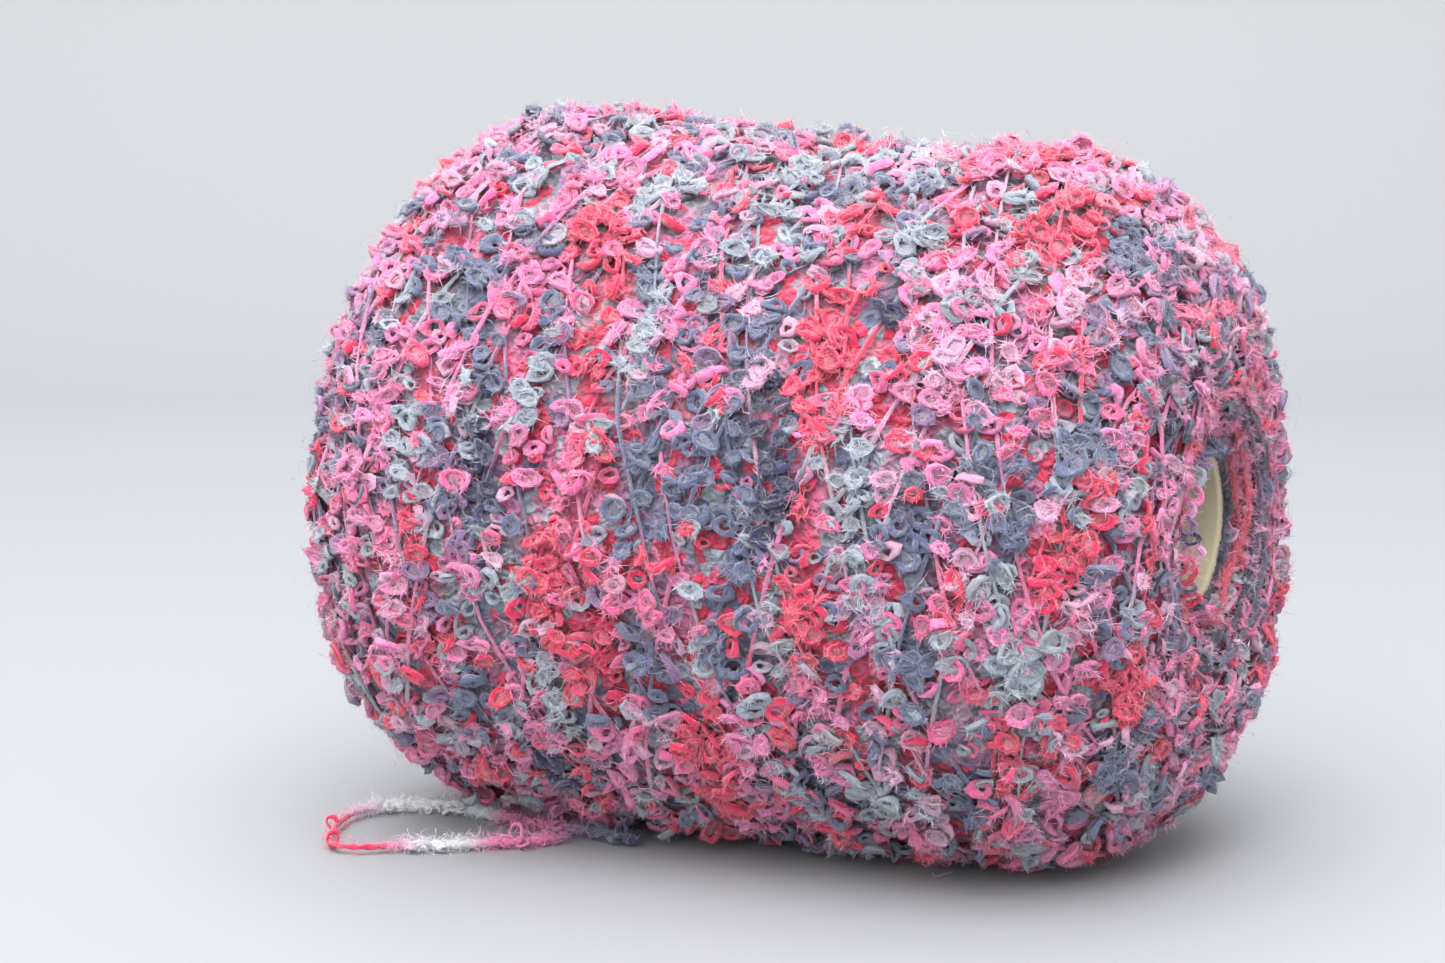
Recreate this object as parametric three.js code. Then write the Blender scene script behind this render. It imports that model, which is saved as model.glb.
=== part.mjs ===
// A cross-wound cone of loop mohair yarn lying on its side, with its paper tube and one loose end.
// Millimetres. +X runs towards the nose, the small end, Y across the axis, +Z up, the surface at z = 0.
import * as THREE from "three";

// Wound yarn, along its own axis: u = 0 at the base end, u = PACKAGE_LENGTH at the nose end
const PACKAGE_LENGTH = 169.5;
const BASE_RADIUS = 70.8;
const NOSE_RADIUS = 67.1;
const BASE_SHOULDER = 29.7;
const BASE_SHOULDER_POWER = 1.6;
const NOSE_SHOULDER = 40.2;
const NOSE_SHOULDER_POWER = 2.02;
const SHOULDER_DEPTH_SHARE = 0.9;
const MOUTH_LIP = 6.5;
const FLAT_SPOT_DEPTH = 1.0;

// Crossing twists raised in the surface
const TWIST_STARTS = 6;
const TWIST_PITCH = 18;
const TWIST_HEIGHT = 1.2;
const TWIST_FADE = 14;

// Paper tube
const TUBE_FROM = -7;
const TUBE_TO = 163;
const TUBE_NOSE_RADIUS = 16.5;
const TUBE_HALF_ANGLE = THREE.MathUtils.degToRad(4.333);
const TUBE_WALL = 2.5;
const TUBE_SIDES = 48;
const FIT_GAP = 0.33;

// Loose end
const STRAND_DIAMETER = 3;
const STRAND_SIDES = 8;
const STRAND_STEPS = 78;
const STRAND_LIFT = 0.06;

// Steps of the wound surface
const STEPS_AROUND = 88;
const STEPS_BORE = 5;
const STEPS_LIP = 4;
const STEPS_FACE = 2;
const STEPS_SHOULDER = 8;
const STEPS_SIDE = 15;

// Soft lumps and hollows of the winding. turn is the angle about the axis in degrees: 0 away from the
// viewer's side, 90 on top, -90 below. reach is the half length along the profile, spread in degrees.
const LUMPS = [
  { u: 44, turn: 98, height: 1.8, reach: 22, spread: 40 },
  { u: 100, turn: 96, height: -0.7, reach: 12, spread: 34 },
  { u: 134, turn: 90, height: 1.5, reach: 17, spread: 38 },
  { u: 160, turn: 32, height: -2.0, reach: 22, spread: 42 },
  { u: 158, turn: -58, height: 1.4, reach: 20, spread: 40 },
  { u: 21, turn: -90, height: -3.4, reach: 13, spread: 24 },
  { u: 6, turn: -132, height: 1.8, reach: 17, spread: 30 },
  { u: 12, turn: 130, height: -0.6, reach: 18, spread: 36 },
  { u: 78, turn: -172, height: 1.1, reach: 26, spread: 34 },
  { u: 96, turn: 18, height: -1.0, reach: 30, spread: 40 },
  { u: 136, turn: -150, height: 0.9, reach: 18, spread: 30 },
];

// The strand's way over the surface, from under the package round its bend to the free tip
const STRAND_ROUTE = [
  { x: -20.0, y: -31.0 },
  { x: -28.0, y: -28.6 },
  { x: -37.0, y: -27.8 },
  { x: -46.5, y: -26.4 },
  { x: -56.5, y: -24.0 },
  { x: -65.5, y: -22.2 },
  { x: -73.5, y: -24.0 },
  { x: -79.7, y: -29.4 },
  { x: -80.9, y: -37.4 },
  { x: -78.3, y: -46.0 },
  { x: -74.3, y: -54.4 },
  { x: -69.1, y: -60.8 },
  { x: -63.1, y: -60.4 },
  { x: -58.1, y: -55.6 },
  { x: -50.9, y: -52.0 },
  { x: -44.9, y: -46.6 },
  { x: -39.5, y: -42.4 },
  { x: -35.6, y: -37.6 },
  { x: -33.4, y: -32.6 },
];

const tubeOuter = (u) => TUBE_NOSE_RADIUS + (TUBE_TO - u) * Math.tan(TUBE_HALF_ANGLE);
const lean = Math.atan((BASE_RADIUS - NOSE_RADIUS) / (PACKAGE_LENGTH - BASE_SHOULDER - NOSE_SHOULDER));

// One quarter of the superellipse that rounds a shoulder: t = 0 at the end face, t = 1 at the side.
function shoulder(t, size, power) {
  const a = (1 - t) * (Math.PI / 2);
  return {
    along: size * (1 - Math.pow(Math.sin(a), 2 / power)),
    drop: SHOULDER_DEPTH_SHARE * size * (1 - Math.pow(Math.cos(a), 2 / power)),
  };
}

// The closed profile of the wound yarn, base end to nose end over the side and back through the bore.
function windingProfile() {
  const profile = [];
  const add = (u, r, raised) => profile.push({ u, r, raised });
  const boreFrom = MOUTH_LIP;
  const boreTo = TUBE_TO - 1;
  const bore = (u) => tubeOuter(u) + FIT_GAP;
  const baseFace = BASE_RADIUS - SHOULDER_DEPTH_SHARE * BASE_SHOULDER;
  const noseFace = NOSE_RADIUS - SHOULDER_DEPTH_SHARE * NOSE_SHOULDER;
  // lip of the base mouth, from the bore out to the end face
  for (let i = 0; i < STEPS_LIP; i++) {
    const a = (i / STEPS_LIP) * (Math.PI / 2);
    const inner = bore(boreFrom);
    const width = (baseFace - inner) * 0.6;
    add(boreFrom - MOUTH_LIP * Math.sin(a), inner + width * (1 - Math.cos(a)), Math.sin(a));
  }
  for (let i = 0; i < STEPS_FACE; i++) {
    const inner = bore(boreFrom) + (baseFace - bore(boreFrom)) * 0.6;
    add(0, THREE.MathUtils.lerp(inner, baseFace, i / STEPS_FACE), 1);
  }
  for (let i = 0; i < STEPS_SHOULDER; i++) {
    const s = shoulder(i / STEPS_SHOULDER, BASE_SHOULDER, BASE_SHOULDER_POWER);
    add(s.along, BASE_RADIUS - s.drop, 1);
  }
  for (let i = 0; i < STEPS_SIDE; i++) {
    const t = i / STEPS_SIDE;
    const u = THREE.MathUtils.lerp(BASE_SHOULDER, PACKAGE_LENGTH - NOSE_SHOULDER, t);
    add(u, THREE.MathUtils.lerp(BASE_RADIUS, NOSE_RADIUS, t), 1);
  }
  for (let i = 0; i < STEPS_SHOULDER; i++) {
    const s = shoulder(1 - i / STEPS_SHOULDER, NOSE_SHOULDER, NOSE_SHOULDER_POWER);
    add(PACKAGE_LENGTH - s.along, NOSE_RADIUS - s.drop, 1);
  }
  // lip of the nose mouth, from the end face into the bore
  for (let i = 0; i < STEPS_LIP + 1; i++) {
    const a = (i / STEPS_LIP) * (Math.PI / 2);
    const inner = bore(boreTo);
    const width = noseFace - inner;
    const drop = PACKAGE_LENGTH - boreTo;
    add(PACKAGE_LENGTH - drop * (1 - Math.cos(a)), inner + width * (1 - Math.sin(a)), Math.cos(a));
  }
  for (let i = 1; i < STEPS_BORE; i++) {
    const u = THREE.MathUtils.lerp(boreTo, boreFrom, i / STEPS_BORE);
    add(u, bore(u), 0);
  }
  return profile;
}

// Outward normal and arc length at each point of the closed profile.
function withNormals(profile) {
  const count = profile.length;
  let length = 0;
  return profile.map((p, i) => {
    const before = profile[(i + count - 1) % count];
    const after = profile[(i + 1) % count];
    if (i > 0) length += Math.hypot(p.u - before.u, p.r - before.r);
    const du = after.u - before.u;
    const dr = after.r - before.r;
    const size = Math.hypot(du, dr);
    return { ...p, normalU: -dr / size, normalR: du / size, along: length };
  });
}

function lumpHeight(u, turn) {
  let height = 0;
  for (const lump of LUMPS) {
    const away = THREE.MathUtils.euclideanModulo(turn - lump.turn + 180, 360) - 180;
    const far = ((u - lump.u) / lump.reach) ** 2 + (away / lump.spread) ** 2;
    height += lump.height * Math.exp(-far);
  }
  return height;
}

// Two families of helical bands that cross, each turning TWIST_STARTS times round the axis.
function twistHeight(along, angle) {
  const phase = (2 * Math.PI * along) / TWIST_PITCH;
  const right = Math.cos(phase - TWIST_STARTS * angle);
  const left = Math.cos(phase + TWIST_STARTS * angle + 1.1);
  return TWIST_HEIGHT * Math.max(right, left) - TWIST_HEIGHT / 2;
}

// Turns a point of the axis frame into the lying pose: the axis leans down to the nose, so that the
// lowest line of the side is level and sinks FLAT_SPOT_DEPTH into the surface, where it is pressed flat.
function lay(u, across, up) {
  const along = u - PACKAGE_LENGTH / 2;
  const seat = BASE_RADIUS * Math.cos(lean) - (PACKAGE_LENGTH / 2 - BASE_SHOULDER) * Math.sin(lean);
  return {
    x: along * Math.cos(lean) + up * Math.sin(lean),
    y: across,
    z: up * Math.cos(lean) - along * Math.sin(lean) + seat - FLAT_SPOT_DEPTH,
  };
}

// A ring-by-ring closed surface from a closed profile turned round the axis.
function closedTurn(profile, around, place) {
  const rings = profile.length;
  const positions = [];
  const index = [];
  for (let i = 0; i < rings; i++) {
    for (let j = 0; j < around; j++) {
      const p = place(profile[i], (j / around) * 2 * Math.PI);
      positions.push(p.x, p.y, p.z);
      const a = i * around + j;
      const b = i * around + ((j + 1) % around);
      const c = ((i + 1) % rings) * around + ((j + 1) % around);
      const d = ((i + 1) % rings) * around + j;
      index.push(a, b, c, a, c, d);
    }
  }
  const geometry = new THREE.BufferGeometry();
  geometry.setAttribute("position", new THREE.Float32BufferAttribute(positions, 3));
  geometry.setIndex(index);
  geometry.computeVertexNormals();
  return geometry;
}

function woundYarn() {
  return closedTurn(withNormals(windingProfile()), STEPS_AROUND, (p, angle) => {
    const turn = THREE.MathUtils.radToDeg(angle);
    const fade = p.raised * Math.min(1, (p.r - TUBE_NOSE_RADIUS) / TWIST_FADE);
    const height = fade * (twistHeight(p.along, angle) + lumpHeight(p.u, turn));
    const u = p.u + p.normalU * height;
    const r = p.r + p.normalR * height;
    const point = lay(u, r * Math.cos(angle), r * Math.sin(angle));
    point.z = Math.max(0, point.z);
    return point;
  });
}

function coreTube() {
  const inner = (u) => tubeOuter(u) - TUBE_WALL;
  const profile = [
    { u: TUBE_FROM, r: inner(TUBE_FROM) },
    { u: TUBE_FROM, r: tubeOuter(TUBE_FROM) },
    { u: TUBE_TO, r: tubeOuter(TUBE_TO) },
    { u: TUBE_TO, r: inner(TUBE_TO) },
  ];
  return closedTurn(profile, TUBE_SIDES, (p, angle) => lay(p.u, p.r * Math.cos(angle), p.r * Math.sin(angle)));
}

function looseEnd() {
  const height = STRAND_DIAMETER / 2 + STRAND_LIFT;
  const points = STRAND_ROUTE.map((p) => new THREE.Vector3(p.x, p.y, height));
  const path = new THREE.CatmullRomCurve3(points, false, "centripetal");
  const section = new THREE.Shape();
  for (let i = 0; i < STRAND_SIDES; i++) {
    const a = (i / STRAND_SIDES) * 2 * Math.PI;
    const x = (STRAND_DIAMETER / 2) * Math.cos(a);
    const y = (STRAND_DIAMETER / 2) * Math.sin(a);
    if (i === 0) section.moveTo(x, y);
    else section.lineTo(x, y);
  }
  section.closePath();
  return new THREE.ExtrudeGeometry(section, { steps: STRAND_STEPS, extrudePath: path, bevelEnabled: false });
}

function named(name, geometry, color, roughness) {
  const mesh = new THREE.Mesh(geometry, new THREE.MeshStandardMaterial({ color, roughness, metalness: 0 }));
  mesh.name = name;
  return mesh;
}

const cone = new THREE.Group();
const yarn = named("wound_yarn", woundYarn(), 0xc98394, 0.95);
const tube = named("core_tube", coreTube(), 0xc3b898, 0.85);
// the origin is under the middle of the package and its tube
const bounds = new THREE.Box3().setFromObject(yarn).union(new THREE.Box3().setFromObject(tube));
const middle = bounds.getCenter(new THREE.Vector3());
yarn.geometry.translate(-middle.x, -middle.y, 0);
tube.geometry.translate(-middle.x, -middle.y, 0);
cone.add(yarn, tube, named("loose_end", looseEnd(), 0xd89aae, 0.95));

export default cone;
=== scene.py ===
"""Dresses a cross-wound cone of space-dyed loop mohair yarn that lies on its side.

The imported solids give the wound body, the paper tube and the route of the loose end. The yarn itself is made
here: a bed of deeper turns, core strands that cross over it both ways, thousands of small loops along them in
a deeper and a top layer, a pad of loose fibre in each top loop, and the fine hair that stands off them all.
"""

import math

import bpy
import numpy as np
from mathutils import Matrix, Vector


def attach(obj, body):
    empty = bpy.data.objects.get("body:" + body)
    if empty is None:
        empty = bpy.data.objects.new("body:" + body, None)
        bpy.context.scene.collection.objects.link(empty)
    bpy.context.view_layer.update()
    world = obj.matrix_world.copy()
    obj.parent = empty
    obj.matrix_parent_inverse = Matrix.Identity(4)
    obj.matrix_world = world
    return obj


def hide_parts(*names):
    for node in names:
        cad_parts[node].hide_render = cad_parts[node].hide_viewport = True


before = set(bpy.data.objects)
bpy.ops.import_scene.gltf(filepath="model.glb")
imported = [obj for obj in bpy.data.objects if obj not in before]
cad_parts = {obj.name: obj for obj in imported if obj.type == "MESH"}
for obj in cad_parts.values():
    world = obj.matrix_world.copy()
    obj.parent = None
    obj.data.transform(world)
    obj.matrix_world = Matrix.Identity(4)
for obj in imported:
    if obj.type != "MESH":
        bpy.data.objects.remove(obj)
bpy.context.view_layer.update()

bl_info = {
    "name": "Mohair Yarn Cone",
    "version": (1, 0, 0),
    "blender": (4, 5, 0),
    "location": "View3D > Sidebar > Yarn Cone",
    "description": "Builds a cone of loop mohair yarn with its tube and loose end",
    "category": "Add Mesh",
}

MM = 0.001
PHOTO_WIDTH = 1445
SENSOR_WIDTH_MM = 36.0
BAKE_MAP = "OFBake"
FIBRE_MAP = "Fibre"
DYE = "dye"

# The middle of the package stands this far from the origin, which is under the middle of package and tube
PACKAGE_SHIFT = 3.254 * MM

# One seed for each thing that is drawn at random
SEEDS = {
    "bed": 5,
    "dyes": 7,
    "lanes": 9,
    "loose end": 11,
    "top strands": 21,
    "deep strands": 22,
    "mouth turns": 23,
    "top loops": 33,
    "deep rings": 43,
    "top rings": 44,
    "rim rings": 45,
    "pads": 46,
    "hair": 55,
    "deep loops": 66,
}


def draws(what):
    """A fresh stream of random draws, always the same for the same thing."""
    return np.random.default_rng(SEEDS[what])


def table(keys, *rows):
    """Rows of values as dicts with these keys."""
    return [dict(zip(keys, row)) for row in rows]


def columns(rows, *keys):
    """The values of each key in all rows, as arrays."""
    return [np.array([row[key] for row in rows]) for key in keys]


# Soft lumps and hollows of the winding, as in the solid. turn is the angle about the axis in degrees, 0 away
# from the viewer and 90 on top, and spread is in degrees too. The rest is in millimetres.
LUMPS = table(
    ("u", "turn", "height", "reach", "spread"),
    (44, 98, 1.8, 22, 40),
    (100, 96, -0.7, 12, 34),
    (134, 90, 1.5, 17, 38),
    (160, 32, -2.0, 22, 42),
    (158, -58, 1.4, 20, 40),
    (21, -90, -3.4, 13, 24),
    (6, -132, 1.8, 17, 30),
    (12, 130, -0.6, 18, 36),
    (78, -172, 1.1, 26, 34),
    (96, 18, -1.0, 30, 40),
    (136, -150, 0.9, 18, 30),
)

# Streaks where neighbouring turns have the same dye, as in the photograph, and one of painted shade, marked
# below. place is along the profile from the base edge and wide is half the width, in millimetres. turn and
# tall, half the height, are in degrees.
STREAKS = table(
    ("place", "turn", "wide", "tall", "dye"),
    (54, 143, 5, 9, "slate"),
    (64, 160, 4, 5, "slate"),
    (64, 171, 3, 9, "night"),
    (64, 136, 3, 3, "slate"),
    (71, 151, 3, 4, "slate"),
    (94, 172, 4, 9, "slate"),
    (106, 171, 5, 9, "slate"),
    (120, 160, 3, 5, "night"),
    (122, 172, 3, 8, "night"),
    (114, 117, 6, 4, "slate"),
    (92, 132, 4, 4, "slate"),
    (113, -176, 5, 12, "slate"),
    (98, -157, 4, 10, "slate"),
    (112, -162, 3, 6, "slate"),
    (58, -147, 4, 6, "slate"),
    # Painted shade, not a dye: this night streak darkens the yarn low in front, where shade falls under the
    # package
    (68, -132, 4, 5, "night"),
    (135, 141, 3, 4, "night"),
    (170, 113, 5, 8, "slate"),
    (200, 142, 3, 10, "night"),
    (148, 177, 4, 7, "slate"),
    (166, 174, 4, 8, "slate"),
    (149, -164, 3, 6, "slate"),
    (153, -137, 4, 9, "slate"),
    (126, -136, 4, 4, "slate"),
    (180, -128, 4, 6, "slate"),
    (108, 127, 4, 9, "silver"),
    (72, 162, 2, 7, "silver"),
    (91, 151, 3, 8, "silver"),
    (46, 168, 3, 8, "silver"),
    (83, 122, 5, 4, "silver"),
    (66, -167, 3, 6, "silver"),
    (107, -174, 2, 8, "silver"),
    (123, -170, 2, 7, "silver"),
    (77, -150, 3, 7, "silver"),
    (136, 171, 5, 11, "silver"),
    (136, 128, 3, 6, "silver"),
    (152, 115, 4, 5, "silver"),
    (188, 165, 3, 7, "silver"),
    (165, -161, 3, 8, "silver"),
    (136, -134, 5, 5, "silver"),
    (73, 132, 5, 6, "coral"),
    (82, 148, 4, 11, "coral"),
    (84, 174, 4, 8, "rose"),
    (77, -170, 3, 7, "coral"),
    (87, -158, 4, 10, "coral"),
    (105, -148, 4, 9, "coral"),
    (103, -127, 5, 5, "coral"),
    (128, 148, 6, 11, "coral"),
    (129, -169, 4, 6, "coral"),
    (159, 118, 7, 9, "coral"),
    (124, 124, 4, 4, "coral"),
    (175, 177, 4, 6, "coral"),
    (187, -149, 5, 10, "coral"),
    (36, -148, 4, 7, "coral"),
)

# The innermost turns round the nose mouth, where the yarn doubles back: out is the way from the lip in
# millimetres, as above the surface and the thickness are. first and last are turns in degrees.
MOUTH_TURNS = table(
    ("out", "above", "first", "last", "thick", "dye"),
    (0.9, 0.9, -88, 84, 1.0, "night"),
    (3.2, 0.3, -84, 40, 1.0, "coral"),
    (5.2, 0.1, -30, 80, 0.9, "coral"),
    (6.8, 0.1, -100, 10, 0.8, "night"),
    (8.6, 0.1, -40, 95, 0.85, "mauve"),
    (10.6, 0.1, -95, 60, 0.9, "slate"),
    (12.8, 0.1, -20, 110, 0.8, "rose"),
    (2.0, 0.1, 110, 200, 0.8, "slate"),
    (4.6, 0.1, 130, 250, 0.8, "rose"),
)

# Loops that stand over the edge of the nose mouth, before the tube: lift is the way out along the axis and
# inward the way towards it, in millimetres as size is
RIM_LOOPS = table(
    ("turn", "lift", "inward", "size", "dye"),
    (96, 0.6, 2.6, 1.7, "night"),
    (82, 0.2, 2.8, 1.6, "slate"),
    (112, 0.9, 2.0, 1.6, "slate"),
    (126, 1.2, 1.6, 1.6, "mauve"),
    (140, 1.5, 1.0, 1.7, "silver"),
    (152, 1.9, 0.6, 1.9, "pink"),
    (161, 1.2, 0.4, 1.7, "blush"),
    (170, 1.6, 0.8, 1.6, "mauve"),
    (178, 2.4, 1.8, 1.5, "night"),
    (-173, 3.0, 2.2, 1.6, "blush"),
    (-167, 1.6, 0.8, 1.7, "rose"),
    (-159, 1.9, 0.9, 1.8, "coral"),
    (-150, 1.5, 1.0, 1.7, "mauve"),
    (-141, 1.8, 1.2, 1.7, "coral"),
    (-131, 1.5, 1.4, 1.8, "night"),
    (-121, 1.8, 1.6, 2.0, "pink"),
    (-111, 1.2, 2.2, 1.7, "slate"),
    (-101, 0.9, 2.8, 1.8, "rose"),
    (-90, 0.5, 3.0, 1.7, "coral"),
    (-79, 0.2, 2.8, 1.7, "slate"),
)

# The strand's way over the surface, from under the package round its bend to the free tip, in metres
STRAND_ROUTE = [
    (-0.0200, -0.0310),
    (-0.0280, -0.0286),
    (-0.0370, -0.0278),
    (-0.0465, -0.0264),
    (-0.0565, -0.0240),
    (-0.0655, -0.0222),
    (-0.0735, -0.0240),
    (-0.0797, -0.0294),
    (-0.0809, -0.0374),
    (-0.0783, -0.0460),
    (-0.0743, -0.0544),
    (-0.0691, -0.0608),
    (-0.0631, -0.0604),
    (-0.0581, -0.0556),
    (-0.0509, -0.0520),
    (-0.0449, -0.0466),
    (-0.0395, -0.0424),
    (-0.0356, -0.0376),
    (-0.0334, -0.0326),
]

# The loose end by the share of the way to its tip: its dyes, half its thickness in millimetres, and how
# hairy it is
WHITE_WOOL = (0.86, 0.89, 0.92)
LOOSE_DYES = (
    (0.00, "night"),
    (0.05, "slate"),
    (0.10, "mauve"),
    (0.14, "pink"),
    (0.22, "pink"),
    (0.26, "undyed"),
    (0.42, "undyed"),
    (0.48, "blush"),
    (0.52, "coral"),
    (0.73, "coral"),
    (0.77, "blush"),
    (0.80, "undyed"),
    (0.85, "undyed"),
    (0.89, "pink"),
    (0.97, "pink"),
    (1.00, "mauve"),
)
LOOSE_THICKNESS = (
    (0, 1.0),
    (0.2, 0.8),
    (0.26, 1.3),
    (0.42, 1.2),
    (0.48, 0.5),
    (0.72, 0.5),
    (0.78, 0.9),
    (0.88, 0.75),
    (1, 0.6),
)
LOOSE_HAIR = ((0, 0.8), (0.2, 0.8), (0.45, 1), (0.5, 0.12), (0.74, 0.12), (0.79, 1), (1, 0.7))

# Loops of the loose end that stand up where the photograph shows them: share of the way, size, and how far
# the middle is to the right of the strand and above the surface, in millimetres
STANDING_LOOPS = table(
    ("share", "size", "right", "height"),
    (0.56, 1.2, -1.0, 2.1),
    (0.655, 1.5, 0.6, 2.0),
    (0.92, 1.8, 0.4, 3.2),
    (0.955, 1.0, 0.3, 1.3),
    (0.145, 1.4, 0.5, 3.0),
    (0.03, 1.6, 0.3, 2.6),
    (0.07, 1.4, -0.4, 2.2),
)


def length(name, description, default, least=0.0):
    return bpy.props.FloatProperty(
        name=name, description=description, default=default, min=least, unit="LENGTH", precision=5
    )


def angle(name, description, degrees):
    return bpy.props.FloatProperty(
        name=name, description=description, default=math.radians(degrees), subtype="ANGLE"
    )


def amount(name, description, default):
    return bpy.props.IntProperty(name=name, description=description, default=default, min=1)


def colour(name, description, *rgb):
    """A colour by its red, green and blue from 0 to 255."""

    def linear(channel):
        c = channel / 255
        return c / 12.92 if c <= 0.04045 else ((c + 0.055) / 1.055) ** 2.4

    default = tuple(linear(channel) for channel in rgb)
    return bpy.props.FloatVectorProperty(
        name=name, description=description, default=default, subtype="COLOR", size=3, min=0, max=1
    )


class ConePackage(bpy.types.PropertyGroup):
    """The wound form"""

    package_length: length("Package length", "From base end to nose end", 169.5 * MM)
    base_radius: length("Base radius", "At the base shoulder", 70.8 * MM)
    nose_radius: length("Nose radius", "At the nose shoulder", 67.1 * MM)
    base_shoulder: length("Base shoulder", "Length of the rounding at the base", 29.7 * MM)
    nose_shoulder: length("Nose shoulder", "Length of the rounding at the nose", 40.2 * MM)
    mouth_lip: length("Mouth lip", "How deep the base mouth's lip turns in", 6.5 * MM)
    flat_spot: length("Flat spot", "How far the package is pressed flat below", 1.0 * MM)
    twist_pitch: length("Twist pitch", "From one raised band to the next", 18 * MM)
    twist_height: length("Twist height", "Height of the raised bands", 1.2 * MM)
    twist_starts: amount("Twist starts", "Bands side by side in each direction", 6)


class ConeTube(bpy.types.PropertyGroup):
    """The paper tube"""

    tube_from: length("Base rim", "Place of the base rim", -7 * MM, least=-1.0)
    tube_to: length("Nose rim", "Place of the nose rim", 163 * MM)
    nose_radius: length("Nose radius", "Outer radius at the nose rim", 16.5 * MM)
    half_angle: angle("Half angle", "Taper of the tube on each side", 4.333)
    wall: length("Wall", "Thickness of the paper", 2.5 * MM)


class ConeYarn(bpy.types.PropertyGroup):
    """The yarn: its strands, loops and hair"""

    strand_radius: length("Strand radius", "Half the thickness of the core strand", 0.42 * MM)
    strands_each_way: amount("Strands each way", "Top strands in each direction", 13)
    under_each_way: amount("Deeper strands each way", "Strands just below in each direction", 15)
    winding_angle: angle("Winding angle", "Angle of the strands to a true circle", 16)
    loop_radius: length("Loop radius", "Middle line of a large loop", 1.75 * MM)
    loop_thickness: length("Loop thickness", "Half the thickness of a loop's thread", 0.7 * MM)
    deep_radius: length("Deeper loop radius", "Middle line of a large deeper loop", 1.6 * MM)
    deep_thickness: length("Deeper loop thickness", "Half the thickness of its thread", 0.95 * MM)
    loops_apart: length("Loops apart", "Along the strand", 4.1 * MM)
    fuzz_length: length("Fuzz length", "Longest hair that stands off a loop", 2.1 * MM)
    veil_length: length("Veil length", "Longest hair that lies over the loops", 5.5 * MM)
    hair_width: length("Hair width", "Width of one hair or a small bunch", 0.1 * MM)


class ConeDyes(bpy.types.PropertyGroup):
    """The dyes of the yarn, the tube's paper and the floor"""

    coral: colour("Coral red", "The strongest red", 244, 58, 102)
    rose: colour("Rose", "Red on its way to pink", 246, 106, 158)
    pink: colour("Pink", "Clear warm pink", 244, 132, 186)
    blush: colour("Blush", "Pale pink", 232, 170, 204)
    silver: colour("Silver", "Pale grey", 170, 178, 192)
    slate: colour("Slate", "Blue grey", 110, 115, 149)
    night: colour("Night", "The darkest slate", 64, 62, 98)
    mauve: colour("Mauve", "Between slate and pink", 156, 118, 164)
    tube: colour("Tube paper", "Beige paper", 190, 180, 154)
    floor: colour("Floor", "Pale plain floor", 157, 159, 163)


class ConeStage(bpy.types.PropertyGroup):
    """The camera"""

    yaw: angle("Camera yaw", "Round the cone", 27.7)
    pitch: angle("Camera pitch", "Above the floor", 6.79)
    distance: length("Camera distance", "From the aimed point", 0.630)
    aim_side: length("Aim sideways", "Aimed point to the right", -0.01788, least=-1.0)
    aim_height: length("Aim height", "Height that is aimed at", 0.060)
    aim_up: length("Aim up", "Aimed point up the picture", 0.00907)
    focal_pixels: bpy.props.FloatProperty(
        name="Focal length in pixels", description="For the photograph's width", default=3220
    )


def run_up(steps):
    """Sums of the steps so far, from nothing on."""
    return np.concatenate([[0], np.cumsum(steps)])


def degrees_from(turn, middle):
    """How far turns are from one in degrees, from -180 to 180."""
    return (np.degrees(turn) - middle + 180) % 360 - 180


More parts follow.
